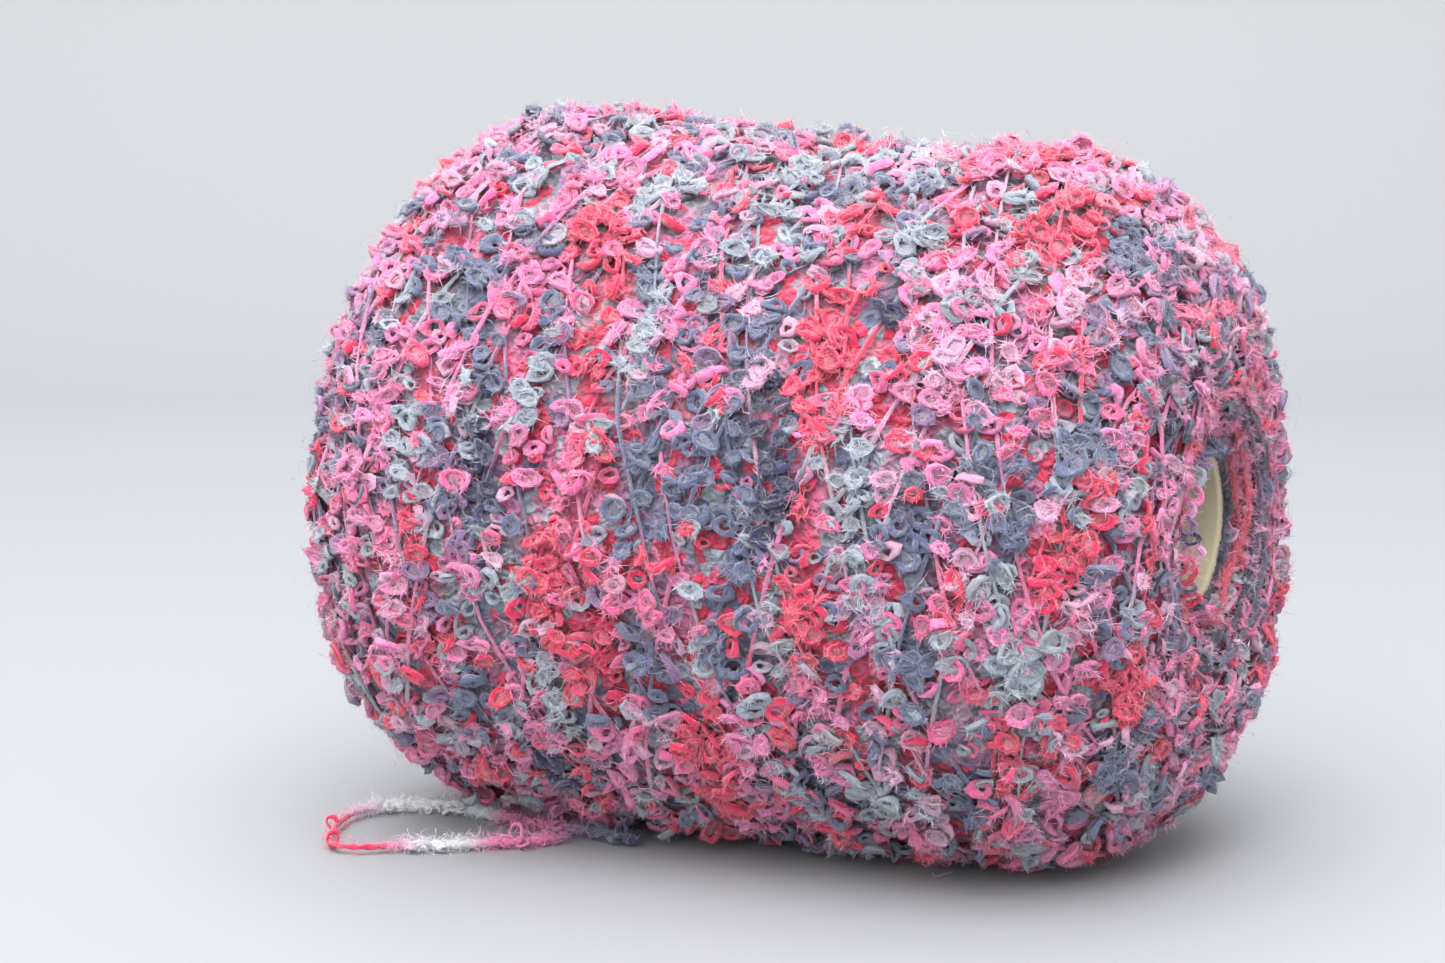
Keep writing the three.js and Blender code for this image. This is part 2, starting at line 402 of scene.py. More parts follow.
class Package:
    """The outside of the wound yarn, from the base mouth over the side to the nose mouth, in metres."""

    STEPS = 60  # in each stretch of the profile
    SHOULDER_DEPTH = 0.9  # by its length
    BASE_POWER, NOSE_POWER = 1.6, 2.02  # of the shoulders' rounding
    LIP_HEIGHT = 0.6  # of the base face
    FIT_GAP = 0.33 * MM
    BEFORE_RIM = 1 * MM  # from the end of the bore to the tube's nose rim
    BAND_SHIFT = 1.1  # between the bands of the two directions
    FADE = 14 * MM  # the bands and lumps fade this close to the tube
    LEAST_RADIUS = 12 * MM  # for the winding
    AT_ONCE = 4000  # points whose place is looked for together

    def __init__(self, scene):
        p, tube = scene.cone_package, scene.cone_tube
        self.p = p
        self.tube = tube
        side = p.package_length - p.base_shoulder - p.nose_shoulder
        self.lean = math.atan((p.base_radius - p.nose_radius) / side)
        self.seat = p.base_radius * math.cos(self.lean)
        self.seat -= (p.package_length / 2 - p.base_shoulder) * math.sin(self.lean)
        self.trace()

    def tube_outer(self, u):
        return self.tube.nose_radius + (self.tube.tube_to - u) * math.tan(self.tube.half_angle)

    def shoulder(self, size, power, quarter):
        """How far along and how deep a rounded shoulder is at angles of a quarter turn."""
        along = size * (1 - np.sin(quarter) ** (2 / power))
        return along, self.SHOULDER_DEPTH * size * (1 - np.cos(quarter) ** (2 / power))

    def trace(self):
        """Keeps the profile as arrays: place along it, axis place, radius, raised share and normal."""
        p, full = self.p, np.ones(self.STEPS)
        share = np.linspace(0, 1, self.STEPS, endpoint=False)
        rising, falling = share * math.pi / 2, (1 - share) * math.pi / 2
        whole = np.linspace(0, math.pi / 2, self.STEPS)
        base_edge = self.tube_outer(p.mouth_lip) + self.FIT_GAP
        base_face = p.base_radius - self.SHOULDER_DEPTH * p.base_shoulder
        lip = self.LIP_HEIGHT * (base_face - base_edge)
        base_along, base_depth = self.shoulder(p.base_shoulder, self.BASE_POWER, falling)
        nose_along, nose_depth = self.shoulder(p.nose_shoulder, self.NOSE_POWER, rising)
        side_to = p.package_length - p.nose_shoulder
        nose_face = p.nose_radius - self.SHOULDER_DEPTH * p.nose_shoulder
        bore_to = self.tube.tube_to - self.BEFORE_RIM
        nose_edge = self.tube_outer(bore_to) + self.FIT_GAP
        stretches = (
            (p.mouth_lip * (1 - np.sin(rising)), base_edge + lip * (1 - np.cos(rising)), np.sin(rising)),
            (0 * full, base_edge + lip + (base_face - base_edge - lip) * share, full),
            (base_along, p.base_radius - base_depth, full),
            (
                np.linspace(p.base_shoulder, side_to, self.STEPS, endpoint=False),
                np.linspace(p.base_radius, p.nose_radius, self.STEPS, endpoint=False),
                full,
            ),
            (p.package_length - nose_along, p.nose_radius - nose_depth, full),
            (
                p.package_length - (p.package_length - bore_to) * (1 - np.cos(whole)),
                nose_edge + (nose_face - nose_edge) * (1 - np.sin(whole)),
                np.cos(whole),
            ),
        )
        u, r, raised = (np.concatenate(row) for row in zip(*stretches))
        # neighbouring stretches may share a point
        keep = np.concatenate([[True], np.hypot(np.diff(u), np.diff(r)) > 1e-9])
        self.u, self.r, self.raised = u[keep], r[keep], raised[keep]
        self.along = run_up(np.hypot(np.diff(self.u), np.diff(self.r)))
        du, dr = np.gradient(self.u), np.gradient(self.r)
        size = np.hypot(du, dr)
        self.normal_u, self.normal_r = -dr / size, du / size
        self.reach = float(self.along[-1])
        self.edge = float(self.along[2 * self.STEPS])

    def read(self, along, values):
        return np.interp(along, self.along, values)

    def height(self, along, turn):
        """Crossing bands and soft lumps, as raised in the solid."""
        p = self.p
        u, r = self.read(along, self.u), self.read(along, self.r)
        phase = 2 * math.pi * along / p.twist_pitch
        right = np.cos(phase - p.twist_starts * turn)
        left = np.cos(phase + p.twist_starts * turn + self.BAND_SHIFT)
        total = p.twist_height * np.maximum(right, left) - p.twist_height / 2
        for lump in LUMPS:
            away = degrees_from(turn, lump["turn"])
            far = ((u / MM - lump["u"]) / lump["reach"]) ** 2 + (away / lump["spread"]) ** 2
            total = total + lump["height"] * MM * np.exp(-far)
        fade = np.minimum(1, (r - self.tube.nose_radius) / self.FADE)
        return total * self.read(along, self.raised) * fade

    def laid(self, u, across, up):
        """From the axis frame to the lying pose."""
        c, s, middle = math.cos(self.lean), math.sin(self.lean), u - self.p.package_length / 2
        z = up * c - middle * s + self.seat - self.p.flat_spot
        return np.stack([middle * c + up * s + PACKAGE_SHIFT, across, z], -1)

    def at(self, along, turn, above):
        above = above + self.height(along, turn)
        u = self.read(along, self.u) + self.read(along, self.normal_u) * above
        r = self.read(along, self.r) + self.read(along, self.normal_r) * above
        return self.laid(u, r * np.cos(turn), r * np.sin(turn))

    def turned(self, u, across, up):
        c, s = math.cos(self.lean), math.sin(self.lean)
        return np.stack([u * c + up * s, across, up * c - u * s], -1)

    def axes(self, along, turn):
        """Outward, round the package, and along the profile towards the nose mouth."""
        nu, nr = self.read(along, self.normal_u), self.read(along, self.normal_r)
        out = self.turned(nu, nr * np.cos(turn), nr * np.sin(turn))
        around = self.turned(0 * nu, -np.sin(turn), np.cos(turn))
        onward = self.turned(nr, -nu * np.cos(turn), -nu * np.sin(turn))
        return out, around, onward

    def found(self, points):
        """The place along the profile and the turn of points near the surface."""
        c, s = math.cos(self.lean), math.sin(self.lean)
        x = points[:, 0] - PACKAGE_SHIFT
        z = points[:, 2] - self.seat + self.p.flat_spot
        u = x * c - z * s + self.p.package_length / 2
        up = z * c + x * s
        r = np.hypot(points[:, 1], up)
        turn = np.arctan2(up, points[:, 1])
        nearest = np.empty(len(points), int)
        for first in range(0, len(points), self.AT_ONCE):
            part = slice(first, first + self.AT_ONCE)
            gap = (u[part, None] - self.u) ** 2 + (r[part, None] - self.r) ** 2
            nearest[part] = gap.argmin(1)
        return self.along[nearest], turn

    def winding(self, angle_):
        """How far a strand of this winding angle has turned at each place along the profile."""
        rate = 1 / (np.maximum(self.r, self.LEAST_RADIUS) * math.tan(angle_))
        return run_up(np.diff(self.along) * (rate[1:] + rate[:-1]) / 2)


def pressed(points, least=0.25 * MM, soft=1.6 * MM):
    """Eases whatever would reach below the surface up to it, as the weight of the package does."""
    z = points[..., 2]
    low = z < soft
    points[..., 2] = np.where(low, least + (soft - least) * np.exp((z - soft) / soft), z)
    return points


class DyedYarn:
    """One long yarn whose colour changes every few centimetres."""

    ORDER = (
        ("coral", "rose", "pink", "blush", "silver"),
        ("slate", "mauve", "pink", "blush", "pink"),
        ("rose", "coral", "pink", "silver", "slate"),
        ("pink", "blush", "pink", "silver", "blush"),
        ("slate", "pink", "rose", "coral", "silver"),
    )
    RUN = (14, 48)  # the shortest and the longest run of one dye, in millimetres
    REPEAT = 40000  # the dyes come again after this many millimetres or a little more
    BLEND = 7  # millimetres over which a dye passes into the next
    LANES = 1.6  # places side by side for each strand
    STARTS, FURTHEST = 400, 30000  # where on the yarn each lane starts, in millimetres
    POOLED = 0.62  # share of places that agree with their neighbours
    SPREAD = 1.2  # of the streaks, by their stated size
    TAKEN = (0.15, 0.75)  # how near to its middle a streak takes a place in

    def __init__(self, scene):
        self.dyes, self.settings, self.package = scene.cone_dyes, scene.cone_yarn, Package(scene)
        self.angle = self.settings.winding_angle
        self.lanes = int(self.settings.strands_each_way * self.LANES)
        self.turned = self.package.winding(self.angle)
        self.starts = draws("lanes").integers(0, self.FURTHEST, self.STARTS)
        rng, runs, total = draws("dyes"), [], 0
        while total < self.REPEAT:
            for name in self.ORDER[rng.integers(len(self.ORDER))]:
                run = int(rng.uniform(*self.RUN))
                runs.append(np.tile(self.dye(name), (run, 1)))
                total += run
        soft = np.ones(self.BLEND) / self.BLEND
        self.table = np.stack([np.convolve(c, soft, "same") for c in np.concatenate(runs).T], 1)

    def dye(self, name):
        return np.array(getattr(self.dyes, name))

    def on_yarn(self, distance):
        """The dyes at distances in millimetres along the yarn."""
        return self.table[distance.astype(int) % len(self.table)]

    def lane_dye(self, along, turn):
        """The dye of the uppermost turn at a place: dyes of turns that lie side by side often agree."""
        way = np.where(np.sin(3 * turn + 55 * along) > 0, 1, -1)
        turned = self.package.read(along, self.turned)
        lane = np.floor((turn - way * turned) / (2 * math.pi) * self.lanes).astype(int)
        start = self.starts[(lane + 40 * way) % self.STARTS]
        return self.on_yarn(along / math.sin(self.angle) / MM + start)

    def at(self, distance, along, turn, rng, apart=1):
        """The dye at a distance in metres along the yarn, or that of a streak which this place is in."""
        dye = self.on_yarn(distance / MM)
        groups = len(dye) // apart + 1
        pooled = np.repeat(rng.uniform(size=groups) < self.POOLED, apart)[: len(dye)]
        dye[pooled] = self.lane_dye(along, turn)[pooled]
        place = (along - self.package.edge) / MM
        draw = np.repeat(rng.uniform(*self.TAKEN, groups), apart)[: len(dye)]
        for streak in STREAKS:
            away = degrees_from(turn, streak["turn"])
            wide, tall = streak["wide"] * self.SPREAD, streak["tall"] * self.SPREAD
            near = np.exp(-(((place - streak["place"]) / wide) ** 2) - (away / tall) ** 2)
            dye[near > draw] = self.dye(streak["dye"])
        return dye


def joined(name, points, faces, dye, cells, fibre=None, normals=None):
    """A mesh object from arrays: points, faces of equal corners, a colour for each point, a bake map, a
    map that runs along and round the thread, and normals for woolly shading."""
    mesh = bpy.data.meshes.new(name)
    points, faces = points.reshape(-1, 3), np.ascontiguousarray(faces, dtype=np.int32)
    corners = faces.shape[1]
    mesh.vertices.add(len(points))
    mesh.vertices.foreach_set("co", points.astype(np.float32).ravel())
    mesh.loops.add(faces.size)
    mesh.loops.foreach_set("vertex_index", faces.ravel())
    mesh.polygons.add(len(faces))
    mesh.polygons.foreach_set("loop_start", np.arange(0, faces.size, corners, dtype=np.int32))
    mesh.polygons.foreach_set("use_smooth", np.ones(len(faces), bool))
    mesh.update(calc_edges=True)
    paint(mesh, dye)
    for map_name, corners_at in ((BAKE_MAP, cells), (FIBRE_MAP, fibre)):
        if corners_at is not None:
            mesh.uv_layers.new(name=map_name, do_init=False)
            mesh.uv_layers[map_name].uv.foreach_set("vector", corners_at.astype(np.float32).ravel())
    mesh.validate()
    if normals is not None:
        mesh.normals_split_custom_set_from_vertices(normals.reshape(-1, 3).astype(np.float32))
    return added(name, mesh)


# How much of a thread's own normal and of the package's goes into the shading
OWN_NORMAL, PACKAGE_NORMAL = 0.8, 0.4


def woolly(rings, out):
    """Normals of threads that lean to the package's own: wool catches light as a whole, not as a wire."""
    own = unit(rings - rings.mean(-2, keepdims=True))
    return unit(own * OWN_NORMAL + out[..., None, :] * PACKAGE_NORMAL)


def paint(mesh, dye):
    """Keeps a colour for each point of the mesh."""
    attribute = mesh.color_attributes.new(DYE, "FLOAT_COLOR", "POINT")
    rgba = np.ones((len(mesh.vertices), 4), np.float32)
    rgba[:, :3] = dye.reshape(-1, 3)
    attribute.data.foreach_set("color", rgba.ravel())


def added(name, data):
    """A new object in the scene."""
    made = bpy.data.objects.new(name, data)
    bpy.context.scene.collection.objects.link(made)
    return made


def aimed(name, data, place, way):
    """A camera or light that looks from a place in a direction."""
    made = added(name, data)
    made.location = place
    made.rotation_mode = "QUATERNION"
    made.rotation_quaternion = way.to_track_quat("-Z", "Y")
    return made


def unit(v):
    return v / np.maximum(np.linalg.norm(v, axis=-1, keepdims=True), 1e-12)


def square_to(axis, v):
    """The part of each direction that is square to its axis, one long."""
    return unit(v - (v * axis).sum(1, keepdims=True) * axis)


def round_angles(count):
    """Even angles all the way round."""
    return np.linspace(0, 2 * math.pi, count, endpoint=False)


def spokes(side, up, count, flat=1.0):
    """Directions all round from side to up, for each pair of them."""
    around = round_angles(count)[None, :, None]
    return np.cos(around) * side[:, None] + flat * np.sin(around) * up[:, None]


def indices(rows, columns_):
    """The row and the column of each place in a grid."""
    i, j = np.meshgrid(np.arange(rows), np.arange(columns_), indexing="ij")
    return i.ravel(), j.ravel()


def tube_faces(rings, sides, closed):
    """Quads of one tube whose points are numbered ring by ring."""
    i, j = indices(rings if closed else rings - 1, sides)
    after, beside = (i + 1) % rings, (j + 1) % sides
    return np.stack([i * sides + j, after * sides + j, after * sides + beside, i * sides + beside], 1)


def repeated(faces, count, points_each):
    shift = np.arange(count, dtype=np.int64)[:, None, None] * points_each
    return (faces[None] + shift).reshape(-1, faces.shape[1])


CELL_MARGIN = 0.08


def cell_corners(count):
    """The lower corner of each of count square cells, by their width, and how many stand side by side."""
    across = math.ceil(math.sqrt(count))
    k = np.arange(count)
    return np.stack([k % across, k // across], 1), across


def grid_cells(count, along, sides, margin=CELL_MARGIN):
    """Bake-map corners: each of count shapes has a square cell, its faces laid along by sides in it."""
    low, across = cell_corners(count)
    i, j = indices(along, sides)
    u, v = np.stack([i, i + 1, i + 1, i], 1) / along, np.stack([j, j, j + 1, j + 1], 1) / sides
    inside = margin + (1 - 2 * margin) * np.stack([u, v], -1)
    return ((low / across)[:, None, None, :] + inside[None] / across).reshape(-1, 2)


def hair_cells(count, corners):
    """Bake-map corners: each of count shapes with these corners has a square cell."""
    low, across = cell_corners(count)
    inside = (1 - 2 * CELL_MARGIN) * corners[None]
    return ((low[:, None] + CELL_MARGIN + inside) / across).reshape(-1, 2)


# From one thread to the next the fibre map moves on this far, along the thread and round it
FIBRE_SHIFT, FIBRE_RISE = 7.31, 0.37


def thread_cells(count, along, sides, step, around=5):
    """Corners of the fibre map: step for each face along the thread and around in all round it."""
    i, j = indices(along, sides)
    u = np.stack([i, i + 1, i + 1, i], 1) * step
    v = np.stack([j, j, j + 1, j + 1], 1) / sides * around
    shift = np.arange(count)[:, None, None] * FIBRE_SHIFT
    return np.stack([u[None] + shift, v[None] + shift * FIBRE_RISE], -1).reshape(-1, 2)


def loop_points(centre, out, side, radius, thick, rng, segments, sides):
    """Points of many small teardrop rings. out is each ring's axis, side the way to its strand."""
    each = (len(centre), 1, 1)
    out = unit(out)
    side = square_to(out, side)
    other = np.cross(out, side)
    a = round_angles(segments)[None, :, None]
    b = (round_angles(sides) + math.pi / sides)[None, None, :]
    tip = rng.uniform(0, 0.45, each)
    swing, second, third = rng.uniform(0, 2 * math.pi, (3, *each))
    oval = rng.uniform(0.62, 1.0, each)
    thick = thick[:, None, None] * (1 + 0.3 * np.sin(a + third))
    lift = thick * rng.uniform(0.1, 1.2, each) * np.sin(a + swing)
    lift = lift + thick * rng.uniform(0, 0.5, each) * np.sin(2 * a + second)
    bent = 1 + rng.uniform(0, 0.16, each) * np.sin(2 * a + third)
    bent = bent + rng.uniform(0, 0.14, each) * np.sin(3 * a + second)
    reach = radius[:, None, None] * bent + thick * (1 + 0.16 * np.sin(2 * a + swing)) * np.cos(b)
    up = lift + thick * np.sin(b)
    x = reach * (np.cos(a) + tip * np.maximum(np.cos(a), 0) ** 3)
    y = reach * np.sin(a) * oval * (1 - 0.25 * tip * (1 + np.cos(a)))
    return (
        centre[:, None, None, :]
        + x[..., None] * side[:, None, None, :]
        + y[..., None] * other[:, None, None, :]
        + up[..., None] * out[:, None, None, :]
    )


def ring_shapes(place, segments, sides, seed):
    """The points of a layer's rings, eased off the surface."""
    parts = (place[key] for key in ("centre", "axis", "side", "size", "thick"))
    return pressed(loop_points(*parts, draws(seed), segments, sides))


# Painted shade: the side of a ring's thread that faces its hole gets this share of the dye on its outside
HOLE_SHADE = 0.9


def ring_piece(name, points, dye, step, normals=None):
    """A piece of many rings, each with its full dye on the outside, where its hair stands, and darkened with
    painted shade on the side that faces its hole.
    """
    count, segments, sides = points.shape[:3]
    outer = (0.5 + 0.5 * np.cos(round_angles(sides) + math.pi / sides))[None, None, :, None]
    dye = dye[:, None, None, :]
    # painted shade: the thread darkens towards the ring's hole
    mixed = np.broadcast_to(dye * HOLE_SHADE * (1 - outer) + dye * outer, points.shape)
    faces = repeated(tube_faces(segments, sides, True), count, segments * sides)
    cells, fibre = grid_cells(count, segments, sides), thread_cells(count, segments, sides, step)
    return joined(name, points, faces, mixed, cells, fibre, normals)


def flat_piece(name, points, faces, corners, dye):
    """A piece of many small flat shapes, with a dye for each shape or for each of its points."""
    count, each = points.shape[:2]
    dye = np.broadcast_to(dye.reshape(count, -1, 3), points.shape)
    return joined(name, points, repeated(faces, count, each), dye, hair_cells(count, corners))


# A pad of fibre: a middle and the corners round it
PAD_CORNERS = 8
PAD_FLAT = 0.85
PAD_FACES = np.array([[0, i + 1, (i + 1) % PAD_CORNERS + 1] for i in range(PAD_CORNERS)])
PAD_EDGE = np.stack([np.cos(round_angles(PAD_CORNERS)), np.sin(round_angles(PAD_CORNERS))], 1)
PAD_CELLS = np.concatenate([[(0.5, 0.5)], 0.5 + 0.5 * PAD_EDGE])


def pad_points(place, rng):
    """Points of the thin pads of loose fibre that fill each loop and stand a little out of it."""
    count = len(place["size"])
    axis, centre = unit(place["axis"]), place["centre"][:, None]
    side = square_to(axis, place["side"])
    reach = place["size"][:, None] * rng.uniform(0.8, 1.3, (count, PAD_CORNERS))
    low = (axis * place["thick"][:, None])[:, None]
    drop = low * rng.uniform(0.3, 1.2, (count, PAD_CORNERS, 1))
    edge = centre + reach[..., None] * spokes(side, np.cross(axis, side), PAD_CORNERS, PAD_FLAT) - drop
    middle = centre + low * rng.uniform(-0.6, 0.1, (count, 1, 1))
    return pressed(np.concatenate([middle, edge], 1))


def edge_way(direction, out, rng):
    """Where the width of each hair lies, so that it faces outwards, more or less."""
    return unit(np.cross(direction, out + rng.normal(0, 0.4, (len(direction), 3))))


def hair_points(root, direction, length_, width, out, rng, bend):
    """Points of many narrow kites, each bent at its middle and turned outwards: root, middle left, middle
    right, tip."""
    count = len(root)
    direction = unit(direction)
    aside = edge_way(direction, out, rng)
    sway = unit(np.cross(direction, aside)) * rng.normal(0, bend, (count, 1))
    middle = root + length_[:, None] * (direction * 0.5 + sway * 0.25)
    tip = root + length_[:, None] * direction + aside * (length_ * rng.normal(0, 0.15, count))[:, None]
    edge = aside * width[:, None] / 2
    return np.stack([root, middle - edge, middle + edge, tip], 1)


def spike_points(root, direction, length_, width, out, rng):
    """Points of many short straight hairs, turned outwards: root left, root right, tip."""
    direction = unit(direction)
    edge = edge_way(direction, out, rng) * width[:, None] / 2
    return np.stack([root - edge, root + edge, root + direction * length_[:, None]], 1)


HAIR_FACES = np.array([[0, 1, 2], [1, 3, 2]])
HAIR_CORNERS = np.array([(0.5, 0), (0, 0.5), (1, 0.5), (0, 0.5), (0.5, 1), (1, 0.5)])
SPIKE_FACES = np.array([[0, 1, 2]])
SPIKE_CORNERS = np.array([(0, 0), (1, 0), (0.5, 1)])


class Value:
    """A shader value, so that maths on it reads as maths."""

    def __init__(self, maker, socket):
        self.maker, self.socket = maker, socket

    def _maths(self, operation, other):
        return self.maker.node("ShaderNodeMath", {"operation": operation}, [self, other])

    def __add__(self, other):
        return self._maths("ADD", other)

    def __sub__(self, other):
        return self._maths("SUBTRACT", other)

    def __mul__(self, other):
        return self._maths("MULTIPLY", other)


class Finish:
    """A material that is built node by node."""

    def __init__(self, name):
        self.material = bpy.data.materials.new(name)
        self.material.use_nodes = True
        self.tree = self.material.node_tree
        self.shader = self.tree.nodes["Principled BSDF"]

    def node(self, kind, settings=None, inputs=None, output=0):
        made = self.tree.nodes.new(kind)
        for name, value in (settings or {}).items():
            setattr(made, name, value)
        pairs = inputs.items() if isinstance(inputs, dict) else enumerate(inputs or [])
        for name, value in pairs:
            if isinstance(value, Value):
                self.tree.links.new(value.socket, made.inputs[name])
            else:
                made.inputs[name].default_value = value
        return Value(self, made.outputs[output])

    def place(self):
        return self.node("ShaderNodeTexCoord", output="Object")

    def dye(self):
        """The colour that the piece keeps at each of its points."""
        return self.node("ShaderNodeAttribute", {"attribute_name": DYE})

    def noise(self, scale, detail, rough):
        inputs = {"Vector": self.place(), "Scale": scale, "Detail": detail, "Roughness": rough}
        return self.node("ShaderNodeTexNoise", inputs=inputs)

    def cells(self, feature, output, inputs):
        return self.node("ShaderNodeTexVoronoi", {"feature": feature}, inputs, output)

    def tinted(self, colour_, factor):
        """A colour whose brightness follows a value."""
        inputs = {0: colour_, "Scale": factor}
        return self.node("ShaderNodeVectorMath", {"operation": "SCALE"}, inputs)

    def mixed(self, factor, a, b):
        settings = {"data_type": "RGBA"}
        return self.node("ShaderNodeMix", settings, {0: factor, 6: a, 7: b}, output=2)

    def set(self, **values):
        for name, value in values.items():
            socket = self.shader.inputs[name.replace("_", " ")]
            if isinstance(value, Value):
                self.tree.links.new(value.socket, socket)
            else:
                socket.default_value = value

    def bump(self, height, strength, distance):
        inputs = {"Height": height, "Strength": strength, "Distance": distance}
        self.set(Normal=self.node("ShaderNodeBump", inputs=inputs))


def mohair(name):
    """Dyed mohair: its fibres run along the thread, light and dark, with a soft sheen."""
    finish = Finish(name)
    dye = finish.dye()
    along = finish.node("ShaderNodeUVMap", {"uv_map": FIBRE_MAP})
    inputs = {"Vector": along, "Scale": 1.0, "Detail": 4, "Roughness": 0.65, "Distortion": 0.6}
    fibres = finish.node("ShaderNodeTexNoise", {"noise_dimensions": "2D"}, inputs)
    wool = finish.noise(1400, 3, 0.7)
    light = fibres * 0.9 + wool * 0.7 + 0.12
    finish.set(Base_Color=finish.tinted(dye, light), Roughness=0.92, Specular_IOR_Level=0.15)
    finish.set(Sheen_Weight=0.6, Sheen_Roughness=0.4)
    finish.bump(fibres + wool * 0.6, 0.8, 0.0012)
    return finish.material


def mohair_hair(name):
    """Single hairs, each one a little lighter or darker."""
    finish = Finish(name)
    light = finish.noise(500, 2, 0.5) * 0.5 + 0.78
    finish.set(Base_Color=finish.tinted(finish.dye(), light), Roughness=0.8, Specular_IOR_Level=0.15)
    return finish.material


def mohair_pad(name):
    """Loose fibre in a loop, lighter and darker in fine specks."""
    finish = Finish(name)
    fibres = finish.noise(1500, 4, 0.75)
    light = fibres * 1.0 + 0.52
    finish.set(Base_Color=finish.tinted(finish.dye(), light), Roughness=0.95, Specular_IOR_Level=0.1)
    finish.set(Sheen_Weight=0.5, Sheen_Roughness=0.4)
    finish.bump(fibres, 1.0, 0.0012)
    return finish.material


def mohair_bed(scene, name):
    """The deeper turns: the round marks of more loops, each one of its own dye, with painted shade in the
    middle of each mark and between them.
    """
    finish = Finish(name)
    dye = finish.dye()
    marks = {"Vector": finish.place(), "Scale": 300, "Randomness": 0.9}
    # Painted shade: each round mark is light along its ring and dark in its middle and towards the gaps
    # between marks
    away = finish.cells("F1", "Distance", marks) - 0.42
    ring = finish.node("ShaderNodeMath", {"operation": "EXPONENT"}, [away * away * -26.0])
    fibres = finish.noise(1300, 4, 0.7)
    inputs = {"Vector": finish.place(), "Scale": 620, "Randomness": 1.0}
    curls = finish.cells("DISTANCE_TO_EDGE", "Distance", inputs)
    drawn = finish.cells("F1", "Color", marks)
    channels = ("Red", "Green", "Blue")
    red, green, blue = (finish.node("ShaderNodeSeparateColor", None, [drawn], c) for c in channels)
    for part, own, least in ((red, "slate", 0.84), (green, "silver", 0.8), (blue, "coral", 0.76)):
        dye = finish.mixed((part - least) * 30.0, dye, (*getattr(scene.cone_dyes, own), 1))
    light = ring * 0.55 + fibres * 1.2 + curls * 1.0 + (red + green) * 0.25 - 0.24
    finish.set(Base_Color=finish.tinted(dye, light), Roughness=0.95, Sheen_Weight=0.2)
    finish.bump(ring + curls * 1.6 + fibres * 0.8, 1.0, 0.002)
    return finish.material


def paper(scene, name):
    """Beige tube paper with its fine fibres and faint darker clouds."""
    finish = Finish(name)
    flecks = finish.noise(900, 5, 0.7)
    clouds = finish.noise(60, 3, 0.5)
    base, darker = (*scene.cone_dyes.tube, 1), (0.42, 0.36, 0.26, 1)
    light = flecks * 0.25 + clouds * 0.3 + 0.7
    finish.set(Base_Color=finish.tinted(finish.mixed(clouds * 0.3, base, darker), light))
    finish.set(Roughness=flecks * 0.15 + 0.72)
    finish.bump(flecks, 0.25, 0.0003)
    return finish.material


def wear(piece, material):
    piece.data.materials.clear()
    piece.data.materials.append(material)


def only(piece):
    bpy.ops.object.select_all(action="DESELECT")
    piece.select_set(True)
    bpy.context.view_layer.objects.active = piece


def face_outwards(piece):
    """Turns every face of a closed piece outwards."""
    only(piece)
    bpy.ops.object.mode_set(mode="EDIT")
    bpy.ops.mesh.select_all(action="SELECT")
    bpy.ops.mesh.normals_make_consistent(inside=False)
    bpy.ops.object.mode_set(mode="OBJECT")


class CONE_OT_camera(bpy.types.Operator):
    """Place the camera as the photograph's"""

    bl_idname = "cone.camera"
    bl_label = "Camera"

    def execute(self, context):
        s = context.scene.cone_stage
        level = math.cos(s.pitch)
        back = Vector((math.sin(s.yaw) * level, -math.cos(s.yaw) * level, math.sin(s.pitch)))
        right = Vector((math.cos(s.yaw), math.sin(s.yaw), 0))
        up = back.cross(right)
        aim = Vector((PACKAGE_SHIFT, 0, s.aim_height)) + right * s.aim_side + up * s.aim_up
        data = bpy.data.cameras.new("camera")
        data.sensor_width = SENSOR_WIDTH_MM
        data.lens = s.focal_pixels / PHOTO_WIDTH * SENSOR_WIDTH_MM
        context.scene.camera = aimed("camera", data, aim + back * s.distance, -back)
        return {"FINISHED"}


def smooth_route(points, count):
    """A centripetal curve through the points in count even steps, and its length."""
    points = np.array(points, float)
    ends = np.concatenate([[2 * points[0] - points[1]], points, [2 * points[-1] - points[-2]]])
    fine = []
    for i in range(1, len(ends) - 2):
        p = ends[i - 1 : i + 3]
        knots = np.cumsum([0] + [np.linalg.norm(b - a) ** 0.5 for a, b in zip(p, p[1:])])
        t = np.linspace(knots[1], knots[2], 30, endpoint=i == len(ends) - 3)[:, None]

        def between(a, b, first, last):
            return a + (b - a) * (t - knots[first]) / (knots[last] - knots[first])

        a, b, c = (between(p[k], p[k + 1], k, k + 1) for k in range(3))
        fine.append(between(between(a, b, 0, 2), between(b, c, 1, 3), 1, 2))
    fine = np.concatenate(fine)
    along = run_up(np.linalg.norm(np.diff(fine, axis=0), axis=1))
    even = np.linspace(0, along[-1], count)
    return np.stack([np.interp(even, along, c) for c in fine.T], 1), along[-1]


def capped(name, points, faces, caps, dye, fibre):
    """A tube of quads whose ends are closed by triangles."""
    mesh = bpy.data.meshes.new(name)
    mesh.from_pydata(points.tolist(), [], faces.tolist() + caps.tolist())
    mesh.polygons.foreach_set("use_smooth", np.ones(len(mesh.polygons), bool))
    paint(mesh, dye)
    mesh.uv_layers.new(name=FIBRE_MAP, do_init=False)
    corners = np.concatenate([fibre, np.zeros((caps.size, 2))])
    mesh.uv_layers[FIBRE_MAP].uv.foreach_set("vector", corners.astype(np.float32).ravel())
    piece = added(name, mesh)
    face_outwards(piece)
    return piece


